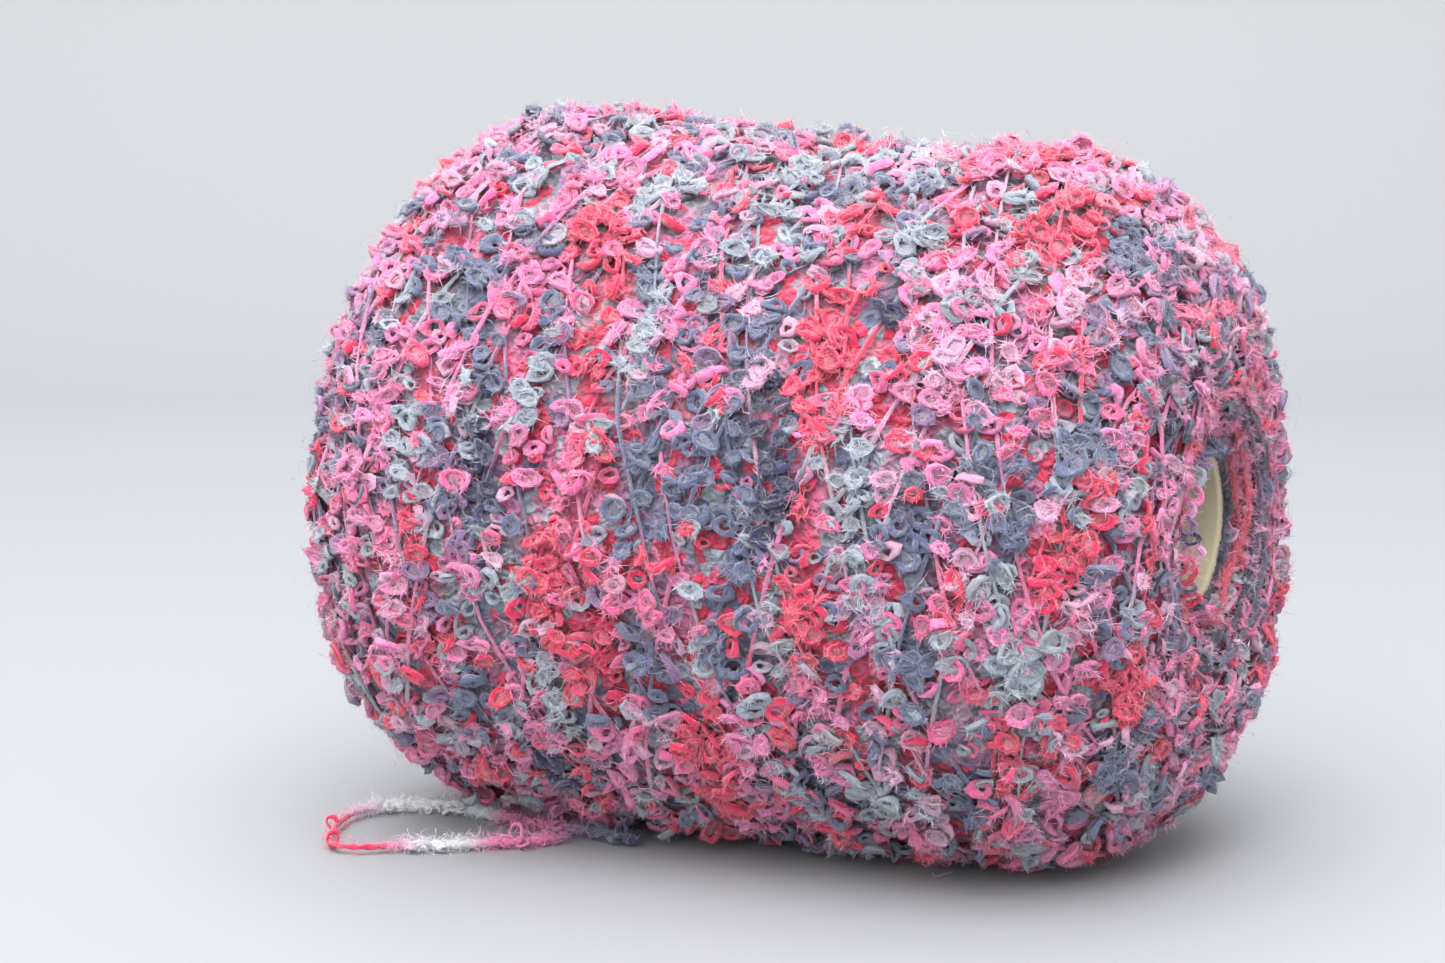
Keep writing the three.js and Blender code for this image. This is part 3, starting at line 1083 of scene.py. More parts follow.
class CONE_OT_loose_end(bpy.types.Operator):
    """Lay the loose end on the surface with its loops and hair"""

    bl_idname = "cone.loose_end"
    bl_label = "Loose end"

    STEPS, SIDES = 220, 12
    HEIGHT = 1.56 * MM  # of its middle line
    PLY_TURN = 6.5 * MM  # for one turn of its two plies
    PLY_DEPTH = 0.2
    FIBRE_STEP = 0.35
    RINGS = (16, 6)  # segments and sides of its loops
    LYING = 64  # loops that would lie along the whole strand
    BARE = (0.44, 0.74)  # the stretch without lying loops, by the share of the way
    HAIRS = 6000
    CLEAR = 0.1 * MM  # under its loops and hair

    def execute(self, context):
        scene = context.scene
        self.rng = draws("loose end")
        self.line, total = smooth_route([(x, y, self.HEIGHT) for x, y in STRAND_ROUTE], self.STEPS)
        self.share = np.linspace(0, 1, self.STEPS)
        self.thick = np.interp(self.share, *zip(*LOOSE_THICKNESS))
        self.forward = unit(np.gradient(self.line, axis=0))
        self.side = unit(np.cross(self.forward, (0, 0, 1)))
        shares, names = zip(*LOOSE_DYES)
        dyes = [WHITE_WOOL if name == "undyed" else getattr(scene.cone_dyes, name) for name in names]
        self.dye = np.stack([np.interp(self.share, shares, channel) for channel in zip(*dyes)], 1)

        strand = self.strand(total)
        wear(strand, mohair("loose strand mohair"))
        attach(strand, "root")
        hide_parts("loose_end")
        piece = self.loops(scene.cone_stage.yaw)
        wear(piece, mohair("loose loop mohair"))
        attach(piece, "root")
        fuzz = self.hair()
        wear(fuzz, mohair_hair("loose hair mohair"))
        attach(fuzz, "root")
        return {"FINISHED"}

    def strand(self, total):
        """The two-ply strand, whose ends close on a middle point."""
        twist = total * self.share / self.PLY_TURN * 2 * math.pi
        plies = 1 + self.PLY_DEPTH * np.cos(2 * (round_angles(self.SIDES)[None] - twist[:, None]))
        reach = (self.thick * MM)[:, None] * plies
        up = np.cross(self.side, self.forward)
        points = self.line[:, None] + reach[..., None] * spokes(self.side, up, self.SIDES)
        points = np.concatenate([points.reshape(-1, 3), self.line[:1], self.line[-1:]])
        middle = self.STEPS * self.SIDES
        ring = np.arange(self.SIDES)
        after, end = (ring + 1) % self.SIDES, middle - self.SIDES
        start_cap = np.stack([ring, after, np.full_like(ring, middle)], 1)
        end_cap = np.stack([end + after, end + ring, np.full_like(ring, middle + 1)], 1)
        dye = np.concatenate([np.repeat(self.dye, self.SIDES, 0), self.dye[:1], self.dye[-1:]])
        fibre = thread_cells(1, self.STEPS - 1, self.SIDES, self.FIBRE_STEP, 6)
        faces = tube_faces(self.STEPS, self.SIDES, closed=False)
        return capped("loose_strand", points, faces, np.concatenate([start_cap, end_cap]), dye, fibre)

    def loops(self, yaw):
        """Loops that lie beside the strand and some that stand up, to be seen from the camera."""
        rng, line, side = self.rng, self.line, self.side
        share, standing, right, height = columns(STANDING_LOOPS, "share", "size", "right", "height")
        places = rng.uniform(0.0, 0.98, self.LYING)
        places = places[(places < self.BARE[0]) | (places > self.BARE[1])]
        lying = len(places)
        size = np.concatenate([rng.uniform(0.8, 1.4, lying), standing]) * MM
        k = (np.concatenate([places, share]) * (self.STEPS - 1)).astype(int)
        count = len(k)
        hand = rng.choice([-1, 1], count)
        thread = np.where(np.arange(count) < lying, 0.4, 0.46) * MM
        centre = line[k] + side[k] * (hand * (size + 0.2 * self.thick[k] * MM))[:, None]
        centre[:, 2] = rng.uniform(0.9, 1.9, count) * MM
        out = np.stack([rng.normal(0, 0.5, count), rng.normal(0, 0.5, count), np.ones(count)], 1)
        toward = -side[k] * hand[:, None]
        rightward = np.array((math.cos(yaw), math.sin(yaw), 0))
        back = np.array((math.sin(yaw), -math.cos(yaw), 0.2))
        centre[lying:] = line[k[lying:]] + rightward * right[:, None] * MM
        centre[lying:, 2] = height * MM
        out[lying:] = back + rng.normal(0, 0.15, (len(height), 3))
        toward[lying:] = (0, 0, -1)
        points = loop_points(centre, out, toward, size, thread, rng, *self.RINGS)
        points[..., 2] = np.maximum(points[..., 2], self.CLEAR)
        shade = np.clip(self.dye[k] * rng.uniform(0.9, 1.1, (count, 1)), 0, 1)
        return ring_piece("loose_loops", points, shade, self.FIBRE_STEP)

    def hair(self):
        rng, count = self.rng, self.HAIRS
        hairy = np.interp(self.share, *zip(*LOOSE_HAIR))
        k = rng.choice(self.STEPS, count, p=hairy / hairy.sum())
        direction = rng.normal(size=(count, 3)) * (1, 1, 0.5)
        direction = direction + self.forward[k] * rng.normal(0, 1.3, (count, 1))
        root = self.line[k] + rng.normal(0, 0.7 * MM, (count, 3))
        reach, width = rng.uniform(1.2, 4.0, count) * MM, np.full(count, 0.09 * MM)
        points = hair_points(root, direction, reach, width, np.array([0, 0, 1.0]), rng, 1.0)
        points[..., 2] = np.maximum(points[..., 2], self.CLEAR)
        return flat_piece("loose_hair", points, HAIR_FACES, HAIR_CORNERS, self.dye[k] * 0.8 + 0.16)


def points_of(mesh):
    points = np.empty(len(mesh.vertices) * 3, np.float32)
    mesh.vertices.foreach_get("co", points)
    return points.reshape(-1, 3).astype(float)


class CONE_OT_bed(bpy.types.Operator):
    """Make the bed of deeper turns from the wound solid"""

    bl_idname = "cone.bed"
    bl_label = "Deeper turns"

    DEPTH = 3.0 * MM
    LEAST_RAISED = 0.2  # the bore stays where it is
    LANES = 1.5  # lanes of one dye for each strand
    KINDS = 97  # of lanes, before they come again
    FIRST, STEP = 11, 1.7  # the first lane's place on the yarn and from lane to lane, in metres

    def execute(self, context):
        scene = context.scene
        yarn = DyedYarn(scene)
        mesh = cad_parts["wound_yarn"].data.copy()
        mesh.name = "yarn_bed"
        mesh.materials.clear()
        bed = added("yarn_bed", mesh)
        self.sink(bed, yarn.package)
        self.dye(bed, yarn)
        wear(bed, mohair_bed(scene, "bed mohair"))
        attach(bed, "root")
        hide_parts("wound_yarn")
        return {"FINISHED"}

    def sink(self, bed, package):
        """Joins the points that lie on each other, and moves the outside in, below the loops."""
        mesh = bed.data
        only(bed)
        bpy.ops.object.mode_set(mode="EDIT")
        bpy.ops.mesh.select_all(action="SELECT")
        bpy.ops.mesh.remove_doubles(threshold=0.01 * MM)
        bpy.ops.mesh.select_all(action="DESELECT")
        bpy.ops.object.mode_set(mode="OBJECT")
        along, _ = package.found(points_of(mesh))
        bpy.context.tool_settings.mesh_select_mode = (True, False, False)
        mesh.vertices.foreach_set("select", package.read(along, package.raised) > self.LEAST_RAISED)
        bpy.ops.object.mode_set(mode="EDIT")
        bpy.ops.transform.shrink_fatten(value=-self.DEPTH)
        bpy.ops.object.mode_set(mode="OBJECT")
        bpy.ops.object.shade_smooth()

    def dye(self, bed, yarn):
        rng = draws("bed")
        along, turn = yarn.package.found(points_of(bed.data))
        turned = yarn.package.read(along, yarn.turned)
        either = np.sin(turn * 7 + along * 210) > 0
        lane = np.where(either, turn - turned, turn + turned) / (2 * math.pi)
        lane = np.floor(lane * yarn.settings.strands_each_way * self.LANES).astype(int) % self.KINDS
        distance = along / math.sin(yarn.angle) + lane * self.STEP + self.FIRST
        dye = yarn.at(distance, along, turn, rng)
        paint(bed.data, np.clip(dye * rng.uniform(0.75, 1.1, (len(dye), 1)), 0, 1))


# In millimetres: the strands' steps, how far they stray from their lanes at so many places along them and at
# each step, and how close to the edges of the package they come
STRAND_STEP = 2.9
STRAY = ((40, 1.6), (110, 1.1))
STRAY_EACH = 0.45
EDGE = 0.5


def strand_paths(yarn, each_way, rng):
    """The strands of both directions: place along the profile and turn at even steps, and yarn distance."""
    package, rise = yarn.package, math.sin(yarn.angle)
    total = package.reach / rise
    count = int(total / (STRAND_STEP * MM))
    t = np.linspace(0, total, count)
    paths = []
    for way in (1, -1):
        for start in range(each_way):
            first = 2 * math.pi * (start + rng.uniform(-0.3, 0.3)) / each_way
            wander = sum(
                np.interp(t, np.linspace(0, total, places), rng.normal(0, far, places)) * MM
                for places, far in STRAY
            )
            along = t * rise + wander + rng.normal(0, STRAY_EACH * MM, count)
            along = np.clip(along, EDGE * MM, package.reach - EDGE * MM)
            turn = first + way * package.read(along, yarn.turned)
            paths.append((way, along, turn, t + len(paths) * 1.37 + rng.uniform(0, 9)))
    return paths


STRAND_SIDES = 3


def strand_mesh(package, along, turn, above, radius):
    """Points of one thin tube that follows the surface."""
    middle = package.at(along, turn, above)
    out, _, _ = package.axes(along, turn)
    forward = unit(np.gradient(middle, axis=0))
    side = unit(np.cross(forward, out))
    ring = spokes(side, np.cross(side, forward), STRAND_SIDES)
    return pressed(middle[:, None] + radius[:, None, None] * ring)


def slowly(n, every, values):
    """Values for n steps that pass from one given value to the next in so many steps."""
    return np.interp(np.arange(n) / every, np.arange(len(values)), values)


def strand_shapes(yarn):
    """The points and dye of each top strand, which rises and sinks between the loops."""
    rng = draws("top strands")
    shapes = []
    for _, along, turn, distance in strand_paths(yarn, yarn.settings.strands_each_way, draws("top strands")):
        n = len(along)
        above = slowly(n, 4, rng.uniform(-2.6, -0.3, n // 4 + 2)) * MM
        radius = yarn.settings.strand_radius * rng.uniform(0.7, 1.35, n)
        shape = strand_mesh(yarn.package, along, turn, above, radius)
        shapes.append((shape, yarn.at(distance, along, turn, rng, 5)))
    return shapes


def mouth_shapes(yarn):
    """The points and dye of the innermost turns, whose dye is darkened with painted shade for the shade of the
    mouth.
    """
    package, rng = yarn.package, draws("mouth turns")
    shapes = []
    for row in MOUTH_TURNS:
        n = int((row["last"] - row["first"]) / 3)
        turn = np.radians(np.linspace(row["first"], row["last"], n))
        slow = slowly(n, 5, rng.normal(0, 0.45, n // 5 + 2))
        along = package.reach - np.maximum(row["out"] + slow + rng.normal(0, 0.15, n), EDGE) * MM
        radius = row["thick"] * rng.uniform(0.55, 1.0, n) * MM
        above = (row["above"] + rng.normal(0, 0.2, n)) * MM
        # Painted shade: the innermost turns are darkened to a slowly changing share of their dye, for the
        # shade of the mouth
        tone = slowly(n, 4, rng.uniform(0.45, 0.85, n // 4 + 2))
        shape = strand_mesh(package, along, turn, above, radius)
        shapes.append((shape, yarn.dye(row["dye"]) * tone[:, None]))
    return shapes


class CONE_OT_strands(bpy.types.Operator):
    """Run the core strands over the bed, crossing both ways, and the innermost turns round the mouth"""

    bl_idname = "cone.strands"
    bl_label = "Core strands"

    TONE, HAZE = 0.88, 0.02

    def execute(self, context):
        yarn = DyedYarn(context.scene)
        points, dyes, faces, normals, first = [], [], [], [], 0
        # The mouth turns come with their painted shade already in their dye
        for shape, dye in strand_shapes(yarn) + mouth_shapes(yarn):
            out, _, _ = yarn.package.axes(*yarn.package.found(shape.mean(1)))
            points.append(shape.reshape(-1, 3))
            normals.append(woolly(shape, out).reshape(-1, 3))
            dyes.append(np.repeat(dye, STRAND_SIDES, 0))
            faces.append(tube_faces(len(shape), STRAND_SIDES, False) + first)
            first += len(points[-1])
        points, dyes, faces, normals = (np.concatenate(part) for part in (points, dyes, faces, normals))
        count = len(faces) // STRAND_SIDES
        fibre = thread_cells(1, count, STRAND_SIDES, 1.3, 4)
        cells = grid_cells(count, 1, STRAND_SIDES, 0.02)
        dyes = dyes * self.TONE + self.HAZE
        piece = joined("core_strands", points, faces, dyes, cells, fibre, normals)
        wear(piece, mohair("strand mohair"))
        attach(piece, "root")
        return {"FINISHED"}


# How high the loops of each layer stand, in millimetres, and how light they are
ABOVE = {"top": (-1.3, 0.1), "deep": (-2.2, -1.0)}
TONE = {"top": 1.04, "deep": 0.98}

# How loops vary: size and thickness by the usual ones, how far along the strand by their distance, how far
# aside of it by their size, and how much they lean out of the surface
SIZES, THICKNESSES = (0.62, 1.16), (0.72, 1.14)
ALONG, ASIDE = (-0.35, 0.35), (0.5, 1.8)
TILT = 0.68

# Loops get fewer and smaller towards the tube, where strands crowd: from which radius, within which, and to
# what share
CROWD_RADIUS, CROWD_WITHIN, CROWD_LEAST = 14 * MM, 36 * MM, 0.4
CROWD_SIZE = 0.66

# Loops stand this far apart along the strand with twelve deeper strands each way, and further with more
USUAL_STRANDS = 12


def loop_places(yarn, layer):
    """Every loop's centre, axis, side, size, thickness and colour, for the top or the deep layer."""
    rng, package, settings = draws(layer + " loops"), yarn.package, yarn.settings
    if layer == "deep":
        each_way, radius, thickness = settings.under_each_way, settings.deep_radius, settings.deep_thickness
        apart = settings.loops_apart * each_way / USUAL_STRANDS
    else:
        each_way, radius, thickness = settings.strands_each_way, settings.loop_radius, settings.loop_thickness
        apart = settings.loops_apart
    kept = []
    for way, along, turn, distance in strand_paths(yarn, each_way, draws(layer + " strands")):
        total = distance[-1] - distance[0]
        count = int(total / apart)
        t = (np.arange(count) + rng.uniform(*ALONG, count)) * apart
        d = distance[0] + np.clip(t, 0, total)
        s, a = np.interp(d, distance, along), np.interp(d, distance, turn)
        r = package.read(s, package.r)
        crowd = np.clip((r - CROWD_RADIUS) / CROWD_WITHIN, CROWD_LEAST, 1)
        on = rng.uniform(size=count) < crowd
        size = radius * rng.uniform(*SIZES, count) * (CROWD_SIZE + (1 - CROWD_SIZE) * crowd)
        aside = rng.choice([-1, 1], count) * size * rng.uniform(*ASIDE, count)
        s = np.clip(s + aside * math.cos(yarn.angle), 0.6 * MM, package.reach - 0.6 * MM)
        a = a - way * aside * math.sin(yarn.angle) / np.maximum(r, 15 * MM)
        dye = yarn.at(d + rng.normal(0, 4, count) * MM, s, a, rng)
        kept.append((s[on], a[on], size[on], dye[on], aside[on]))
    s, a, size, dye, aside = (np.concatenate(part) for part in zip(*kept))
    count = len(s)
    out, around, onward = package.axes(s, a)
    tilt = np.abs(rng.normal(0, TILT, (count, 1)))
    toward = rng.uniform(0, 2 * math.pi, (count, 1))
    axis = unit(out + tilt * (np.cos(toward) * around + np.sin(toward) * onward))
    thick = thickness * rng.uniform(*THICKNESSES, count) * size / radius
    above = rng.uniform(*ABOVE[layer], count)
    centre = package.at(s, a, above * MM + tilt[:, 0] * size * 0.2)
    side = onward * -np.sign(aside)[:, None] + around * rng.normal(0, 0.5, (count, 1))
    tone = rng.normal(TONE[layer], 0.09, (count, 1)) + rng.normal(0, 0.02, (count, 3))
    keys = ("centre", "axis", "side", "size", "thick", "dye", "out")
    return dict(zip(keys, (centre, axis, side, size, thick, np.clip(dye * tone, 0.01, 1), out)))


def rim_places(yarn):
    """The loops that stand over the edge of the nose mouth."""
    package = yarn.package
    turn, lift, inward, size = columns(RIM_LOOPS, "turn", "lift", "inward", "size")
    turn, size = np.radians(turn), size * MM
    axle = package.turned(np.ones(len(turn)), 0 * turn, 0 * turn)
    spoke = package.turned(0 * turn, np.cos(turn), np.sin(turn))
    rim = package.at(np.full(len(turn), package.reach - 4 * MM), turn, 0.0)
    return {
        "centre": rim + (lift[:, None] * axle - inward[:, None] * spoke) * MM,
        "axis": unit(0.85 * spoke + 0.5 * axle),
        "side": -axle,
        "size": size,
        "thick": size * 0.38,
        "dye": np.stack([yarn.dye(row["dye"]) for row in RIM_LOOPS]),
        "out": spoke,
    }


# Segments, sides and seed of each layer's rings
DEEP_RINGS = (7, 3, "deep rings")
TOP_RINGS = (9, 3, "top rings")
RIM_RINGS = (14, 5, "rim rings")


# How far the fibre map goes along once round a ring
FIBRE_ROUND = 5.0


def parted(place, pieces):
    """The loops of each piece, shared out along the axis."""
    return np.array_split(np.argsort(place["centre"][:, 0], kind="stable"), pieces)


class CONE_OT_loops(bpy.types.Operator):
    """Set the small loops along the strands, in a deeper and a top layer"""

    bl_idname = "cone.loops"
    bl_label = "Loops"

    # The last of these is painted shade: each pad's middle point, down in its loop's hollow, is darkened to
    # this share of its dye
    PAD_TONE, PAD_HAZE, PAD_MIDDLE = 0.74, 0.15, 0.82

    def execute(self, context):
        yarn = DyedYarn(context.scene)
        self.material = mohair("loop mohair")
        self.layer("deep_loops", loop_places(yarn, "deep"), 1, *DEEP_RINGS)
        top = loop_places(yarn, "top")
        self.layer("yarn_loops", top, 2, *TOP_RINGS)
        self.pads("loop_pads", top)
        self.layer("rim_loops", rim_places(yarn), 1, *RIM_RINGS)
        return {"FINISHED"}

    def pads(self, name, place):
        rng = draws("pads")
        points = pad_points(place, rng)
        count, each = points.shape[:2]
        dye = place["dye"] * self.PAD_TONE + self.PAD_HAZE + rng.normal(0, 0.02, (count, 1))
        # Painted shade in the hollow of each loop: the pad's middle point is darker than its edge
        middle = np.where(np.arange(each) == 0, self.PAD_MIDDLE, 1.0)
        dye = np.clip(dye, 0, 1)[:, None] * middle[None, :, None]
        piece = flat_piece(name, points, PAD_FACES, PAD_CELLS[PAD_FACES.ravel()], dye)
        wear(piece, mohair_pad("pad mohair"))
        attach(piece, "root")

    def layer(self, name, place, pieces, segments, sides, seed):
        points = ring_shapes(place, segments, sides, seed)
        normals = woolly(points, place["out"][:, None])
        for number, group in enumerate(parted(place, pieces), 1):
            own = f"{name}_{number}" if pieces > 1 else name
            dye = place["dye"][group]
            piece = ring_piece(own, points[group], dye, FIBRE_ROUND / segments, normals[group])
            wear(piece, self.material)
            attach(piece, "root")


class CONE_OT_hair(bpy.types.Operator):
    """Let fine hair stand off the loops and lie over them as a veil"""

    bl_idname = "cone.hair"
    bl_label = "Fine hair"

    # How many hairs there are, on each loop where the name says so
    FUZZ_EACH, VEIL_EACH = 60, 5
    STRAND_FUZZ, MOUTH_FUZZ, RIM_FUZZ = 38000, 9000, 2400
    # So many more are drawn, as those that point inwards by more than this are left out
    DRAWN, INWARDS = 1.8, -0.25
    PALE, PALEST = 0.35, 0.78

    def execute(self, context):
        yarn = DyedYarn(context.scene)
        self.settings, self.rng = yarn.settings, draws("hair")
        self.material = mohair_hair("hair mohair")
        place = loop_places(yarn, "top")
        rings, out, dye = ring_shapes(place, *TOP_RINGS), place["out"], place["dye"]
        for number, group in enumerate(parted(place, 2), 1):
            count = len(group) * self.FUZZ_EACH
            self.fuzz(f"yarn_fuzz_{number}", rings[group], out[group], dye[group], count)
        self.strand_fuzz("strand_fuzz", yarn.package, strand_shapes(yarn), self.STRAND_FUZZ)
        # The mouth turns' dye carries their painted shade, and so does their fuzz
        self.strand_fuzz("mouth_fuzz", yarn.package, mouth_shapes(yarn), self.MOUTH_FUZZ)
        rim = rim_places(yarn)
        self.fuzz("rim_fuzz", ring_shapes(rim, *RIM_RINGS), rim["out"] * 0, rim["dye"], self.RIM_FUZZ)
        self.veil("yarn_veil", place)
        return {"FINISHED"}

    def strand_fuzz(self, name, package, strands, count):
        """Fuzz on strands, whose short stretches count as rings of two cross-sections."""
        pairs = np.concatenate([np.stack([shape[:-1], shape[1:]], 1) for shape, _ in strands])
        dye = np.concatenate([dye[:-1] for _, dye in strands])
        along, turn = package.found(pairs.mean((1, 2)))
        self.fuzz(name, pairs, package.axes(along, turn)[0], dye, count)

    def fuzz(self, name, rings, out, dye, count):
        """Short hairs that stand on the outer faces of rings of cross-sections."""
        rng = self.rng
        drawn = int(count * self.DRAWN)
        k = rng.integers(0, len(rings), drawn)
        segments, sides = rings.shape[1:3]
        i = rng.integers(0, segments if segments > 2 else 1, drawn)
        j, onward = rng.integers(0, sides, drawn), (i + 1) % segments
        first, second, beside = rings[k, i, j], rings[k, onward, j], rings[k, i, (j + 1) % sides]
        middle = rings.mean(2)
        share, over = rng.uniform(size=(2, drawn, 1))
        root = first + share * (second - first) + over * (beside - first)
        normal = unit(root - middle[k, i] - share * (middle[k, onward] - middle[k, i]))
        outer = np.flatnonzero((normal * out[k]).sum(1) > self.INWARDS)[:count]
        k, root, normal, along = k[outer], root[outer], normal[outer], unit(second - first)[outer]
        count = len(k)
        direction = normal * rng.uniform(0.2, 1.0, (count, 1)) + along * rng.normal(0, 0.8, (count, 1))
        reach = self.settings.fuzz_length * rng.uniform(0.4, 1.0, count)
        width = self.settings.hair_width * rng.uniform(0.8, 1.5, count)
        direction = direction + rng.normal(0, 0.3, (count, 3))
        points = pressed(spike_points(root, direction, reach, width, out[k], rng))
        self.hairs(name, points, SPIKE_FACES, SPIKE_CORNERS, dye[k])

    def veil(self, name, place):
        """Longer hairs that lie over the loops in any direction."""
        rng = self.rng
        k = np.repeat(np.arange(len(place["size"])), self.VEIL_EACH)
        count = len(k)
        out = place["out"][k]
        aside = unit(np.cross(out, rng.normal(size=(count, 3))))
        root = place["centre"][k] + rng.normal(0, 1.2 * MM, (count, 3))
        root = root + out * rng.uniform(0.0, 0.9, (count, 1)) * MM
        reach = self.settings.veil_length * rng.uniform(0.25, 1.0, count) ** 1.3
        direction = aside + out * rng.normal(0.0, 0.1, (count, 1))
        width = self.settings.hair_width * rng.uniform(0.55, 1.2, count)
        points = pressed(hair_points(root, direction, reach, width, out, rng, 0.7))
        self.hairs(name, points, HAIR_FACES, HAIR_CORNERS, place["dye"][k])

    def hairs(self, name, points, faces, corners, dye):
        """A piece of hairs, which are paler than their thread, light ones more than dark ones."""
        pale = self.PALE * (0.3 + 0.9 * dye.mean(1, keepdims=True))
        tint = dye * (1 - pale) + pale * self.PALEST + self.rng.normal(0, 0.03, (len(dye), 1))
        piece = flat_piece(name, points, faces, corners, np.clip(tint, 0, 1))
        wear(piece, self.material)
        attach(piece, "root")


class CONE_OT_tube(bpy.types.Operator):
    """Make the paper tube with its rounded rims"""

    bl_idname = "cone.tube"
    bl_label = "Paper tube"

    SIDES = 128
    RIM_ROUNDING, RIM_STEPS = 0.7 * MM, 3
    RIM_ANGLE, SMOOTH_ANGLE = math.radians(50), math.radians(40)

    def execute(self, context):
        scene = context.scene
        package, tube = Package(scene), scene.cone_tube
        middle = package.laid(np.array((tube.tube_from + tube.tube_to) / 2), 0.0, 0.0)
        bpy.ops.object.select_all(action="DESELECT")
        bpy.ops.mesh.primitive_cone_add(
            vertices=self.SIDES,
            radius1=package.tube_outer(tube.tube_from),
            radius2=tube.nose_radius,
            depth=tube.tube_to - tube.tube_from,
            end_fill_type="NOTHING",
            location=tuple(middle),
            rotation=(0, math.pi / 2 + package.lean, 0),
        )
        piece = bpy.context.active_object
        piece.name = piece.data.name = "paper_tube"
        wall = piece.modifiers.new("wall", "SOLIDIFY")
        wall.thickness, wall.offset = tube.wall, -1
        rims = piece.modifiers.new("rims", "BEVEL")
        rims.width, rims.segments = self.RIM_ROUNDING, self.RIM_STEPS
        rims.limit_method, rims.angle_limit = "ANGLE", self.RIM_ANGLE
        for name in ("wall", "rims"):
            bpy.ops.object.modifier_apply(modifier=name)
        bpy.ops.object.transform_apply(location=True, rotation=True, scale=True)
        face_outwards(piece)
        bpy.ops.object.shade_smooth_by_angle(angle=self.SMOOTH_ANGLE)
        wear(piece, paper(scene, "tube paper"))
        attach(piece, "root")
        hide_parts("core_tube")
        return {"FINISHED"}


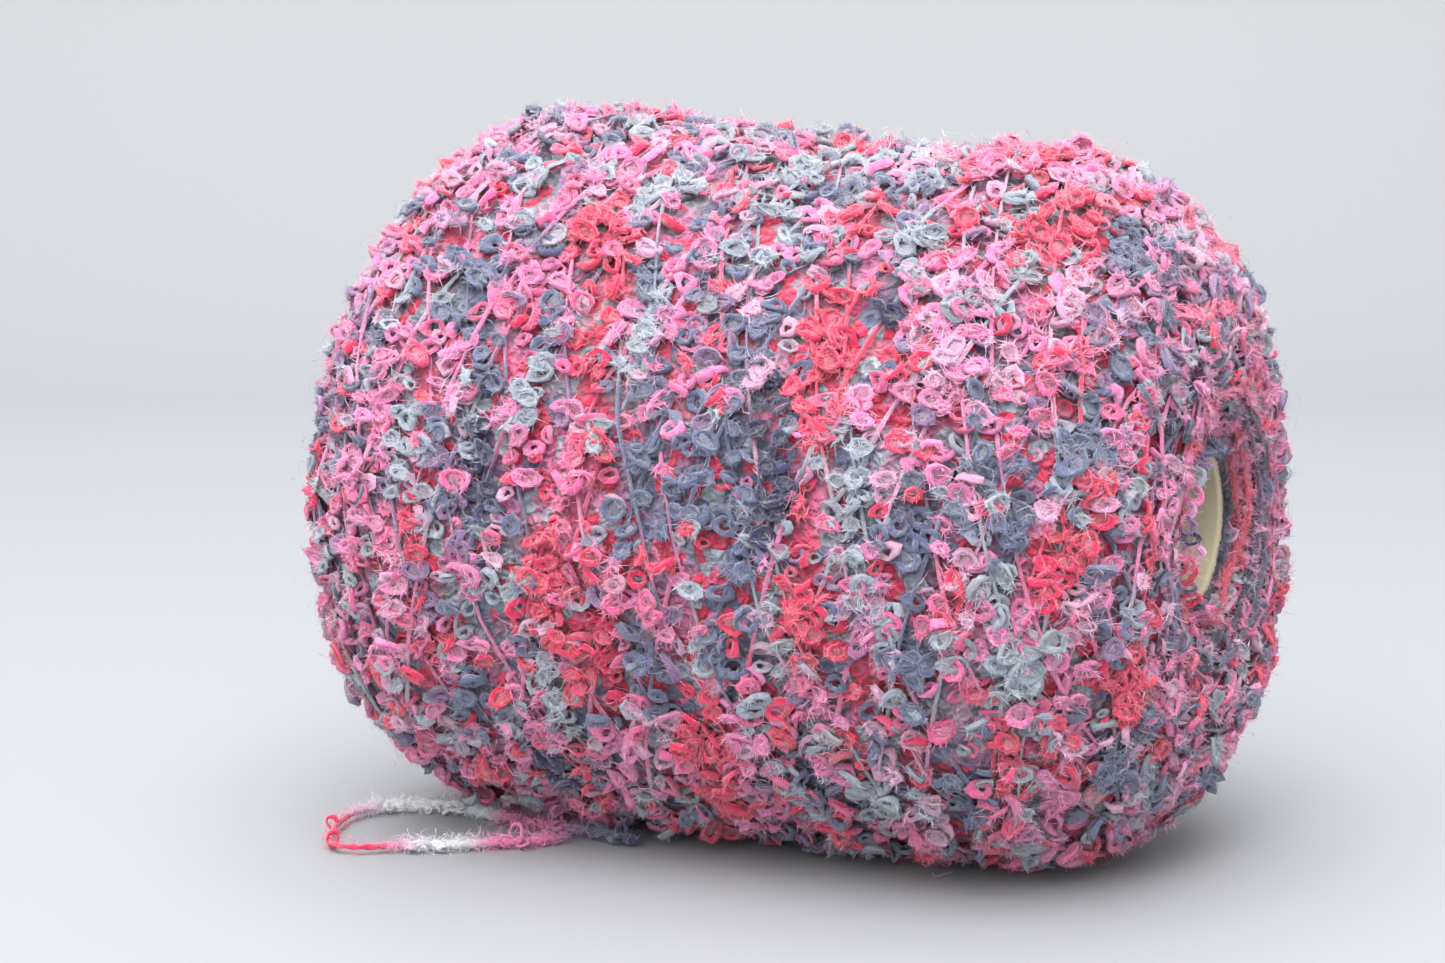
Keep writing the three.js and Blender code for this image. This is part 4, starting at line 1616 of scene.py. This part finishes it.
class CONE_OT_stage(bpy.types.Operator):
    """Set the floor, the backdrop and the soft studio light"""

    bl_idname = "cone.stage"
    bl_label = "Floor and light"

    # The floor and the backdrop that it sweeps up to, in metres
    HALF_WIDTH, FRONT = 2.6, -1.6
    SWEEP_FROM, SWEEP_RADIUS, SWEEP_STEPS = 0.9, 0.7, 12
    BACKDROP_AT, BACKDROP_TOP = 1.6, 3.0
    BACKDROP = (0.352, 0.356, 0.355, 1)
    FULL_BACKDROP_AT = 0.5
    SKY, SKY_STRENGTH = (0.97, 0.98, 1.0, 1), 0.84
    LIT_HEIGHT = 0.05
    # Place and size in metres, power in watts
    LIGHTS = (
        ("over", (0.15, -0.5, 2.1), 2.2, 43.0),
        ("front", (0.3, -1.2, 1.9), 2.0, 42.0),
        ("low", (0.5, -1.7, 1.0), 1.6, 24.0),
        ("back", (-0.4, 0.9, 1.8), 1.4, 15.0),
    )

    def execute(self, context):
        scene = context.scene
        floor = self.floor(scene.cone_stage.yaw)
        wear(floor, self.floor_finish(scene.cone_dyes.floor))
        scene.world = self.studio()
        for name, spot, size, power in self.LIGHTS:
            light = bpy.data.lights.new(name, "AREA")
            light.size, light.energy = size, power
            aimed(name, light, spot, Vector((0, 0, self.LIT_HEIGHT)) - Vector(spot))
        scene.cycles.max_bounces, scene.cycles.diffuse_bounces, scene.cycles.glossy_bounces = 5, 3, 2
        scene.view_settings.view_transform = "Standard"
        scene.view_settings.look = "None"
        return {"FINISHED"}

    def floor(self, yaw):
        """A floor that sweeps up behind the cone."""
        profile = [(self.FRONT, 0.0), (self.SWEEP_FROM, 0.0)]
        for i in range(1, self.SWEEP_STEPS + 1):
            a = i / self.SWEEP_STEPS * math.pi / 2
            away = self.SWEEP_FROM + self.SWEEP_RADIUS * math.sin(a)
            profile.append((away, self.SWEEP_RADIUS * (1 - math.cos(a))))
        profile.append((self.BACKDROP_AT, self.BACKDROP_TOP))
        back = np.array([-math.sin(yaw), math.cos(yaw), 0])
        right = np.array([math.cos(yaw), math.sin(yaw), 0])
        rows = [back * d + np.array([0, 0, z]) for d, z in profile]
        points = [tuple(row + right * w) for row in rows for w in (-self.HALF_WIDTH, self.HALF_WIDTH)]
        faces = [(2 * i, 2 * i + 1, 2 * i + 3, 2 * i + 2) for i in range(len(rows) - 1)]
        mesh = bpy.data.meshes.new("floor")
        mesh.from_pydata(points, [], faces)
        mesh.polygons.foreach_set("use_smooth", np.ones(len(faces), bool))
        return added("floor", mesh)

    def floor_finish(self, colour_):
        """The floor's colour, which passes into the backdrop's as it rises."""
        finish = Finish("floor")
        height = finish.node("ShaderNodeSeparateXYZ", inputs=[finish.place()], output=2)
        heights = {0: height, 1: 0.0, 2: self.FULL_BACKDROP_AT, 3: 0.0, 4: 1.0}
        rise = finish.node("ShaderNodeMapRange", inputs=heights)
        finish.set(Base_Color=finish.mixed(rise, (*colour_, 1), self.BACKDROP))
        finish.set(Roughness=0.5, Specular_IOR_Level=0.06)
        return finish.material

    def studio(self):
        world = bpy.data.worlds.new("studio")
        world.use_nodes = True
        sky = world.node_tree.nodes["Background"].inputs
        sky["Color"].default_value, sky["Strength"].default_value = self.SKY, self.SKY_STRENGTH
        return world


class CONE_PT_panel(bpy.types.Panel):
    """The steps of the yarn cone"""

    bl_idname = "CONE_PT_panel"
    bl_label = "Yarn Cone"
    bl_space_type = "VIEW_3D"
    bl_region_type = "UI"
    bl_category = "Yarn Cone"

    def draw(self, context):
        for step in STEPS:
            self.layout.operator(step.bl_idname)


STEPS = (
    CONE_OT_camera,
    CONE_OT_loose_end,
    CONE_OT_bed,
    CONE_OT_strands,
    CONE_OT_loops,
    CONE_OT_hair,
    CONE_OT_tube,
    CONE_OT_stage,
)
GROUPS = {
    "cone_package": ConePackage,
    "cone_tube": ConeTube,
    "cone_yarn": ConeYarn,
    "cone_dyes": ConeDyes,
    "cone_stage": ConeStage,
}


def register():
    for group in GROUPS.values():
        bpy.utils.register_class(group)
    for name, group in GROUPS.items():
        setattr(bpy.types.Scene, name, bpy.props.PointerProperty(type=group))
    for made in (*STEPS, CONE_PT_panel):
        bpy.utils.register_class(made)


def unregister():
    for made in reversed((*STEPS, CONE_PT_panel)):
        bpy.utils.unregister_class(made)
    for name, group in reversed(GROUPS.items()):
        delattr(bpy.types.Scene, name)
        bpy.utils.unregister_class(group)


def main():
    register()
    for step in STEPS:
        area, action = step.bl_idname.split(".")
        getattr(getattr(bpy.ops, area), action)()


if __name__ == "__main__":
    main()
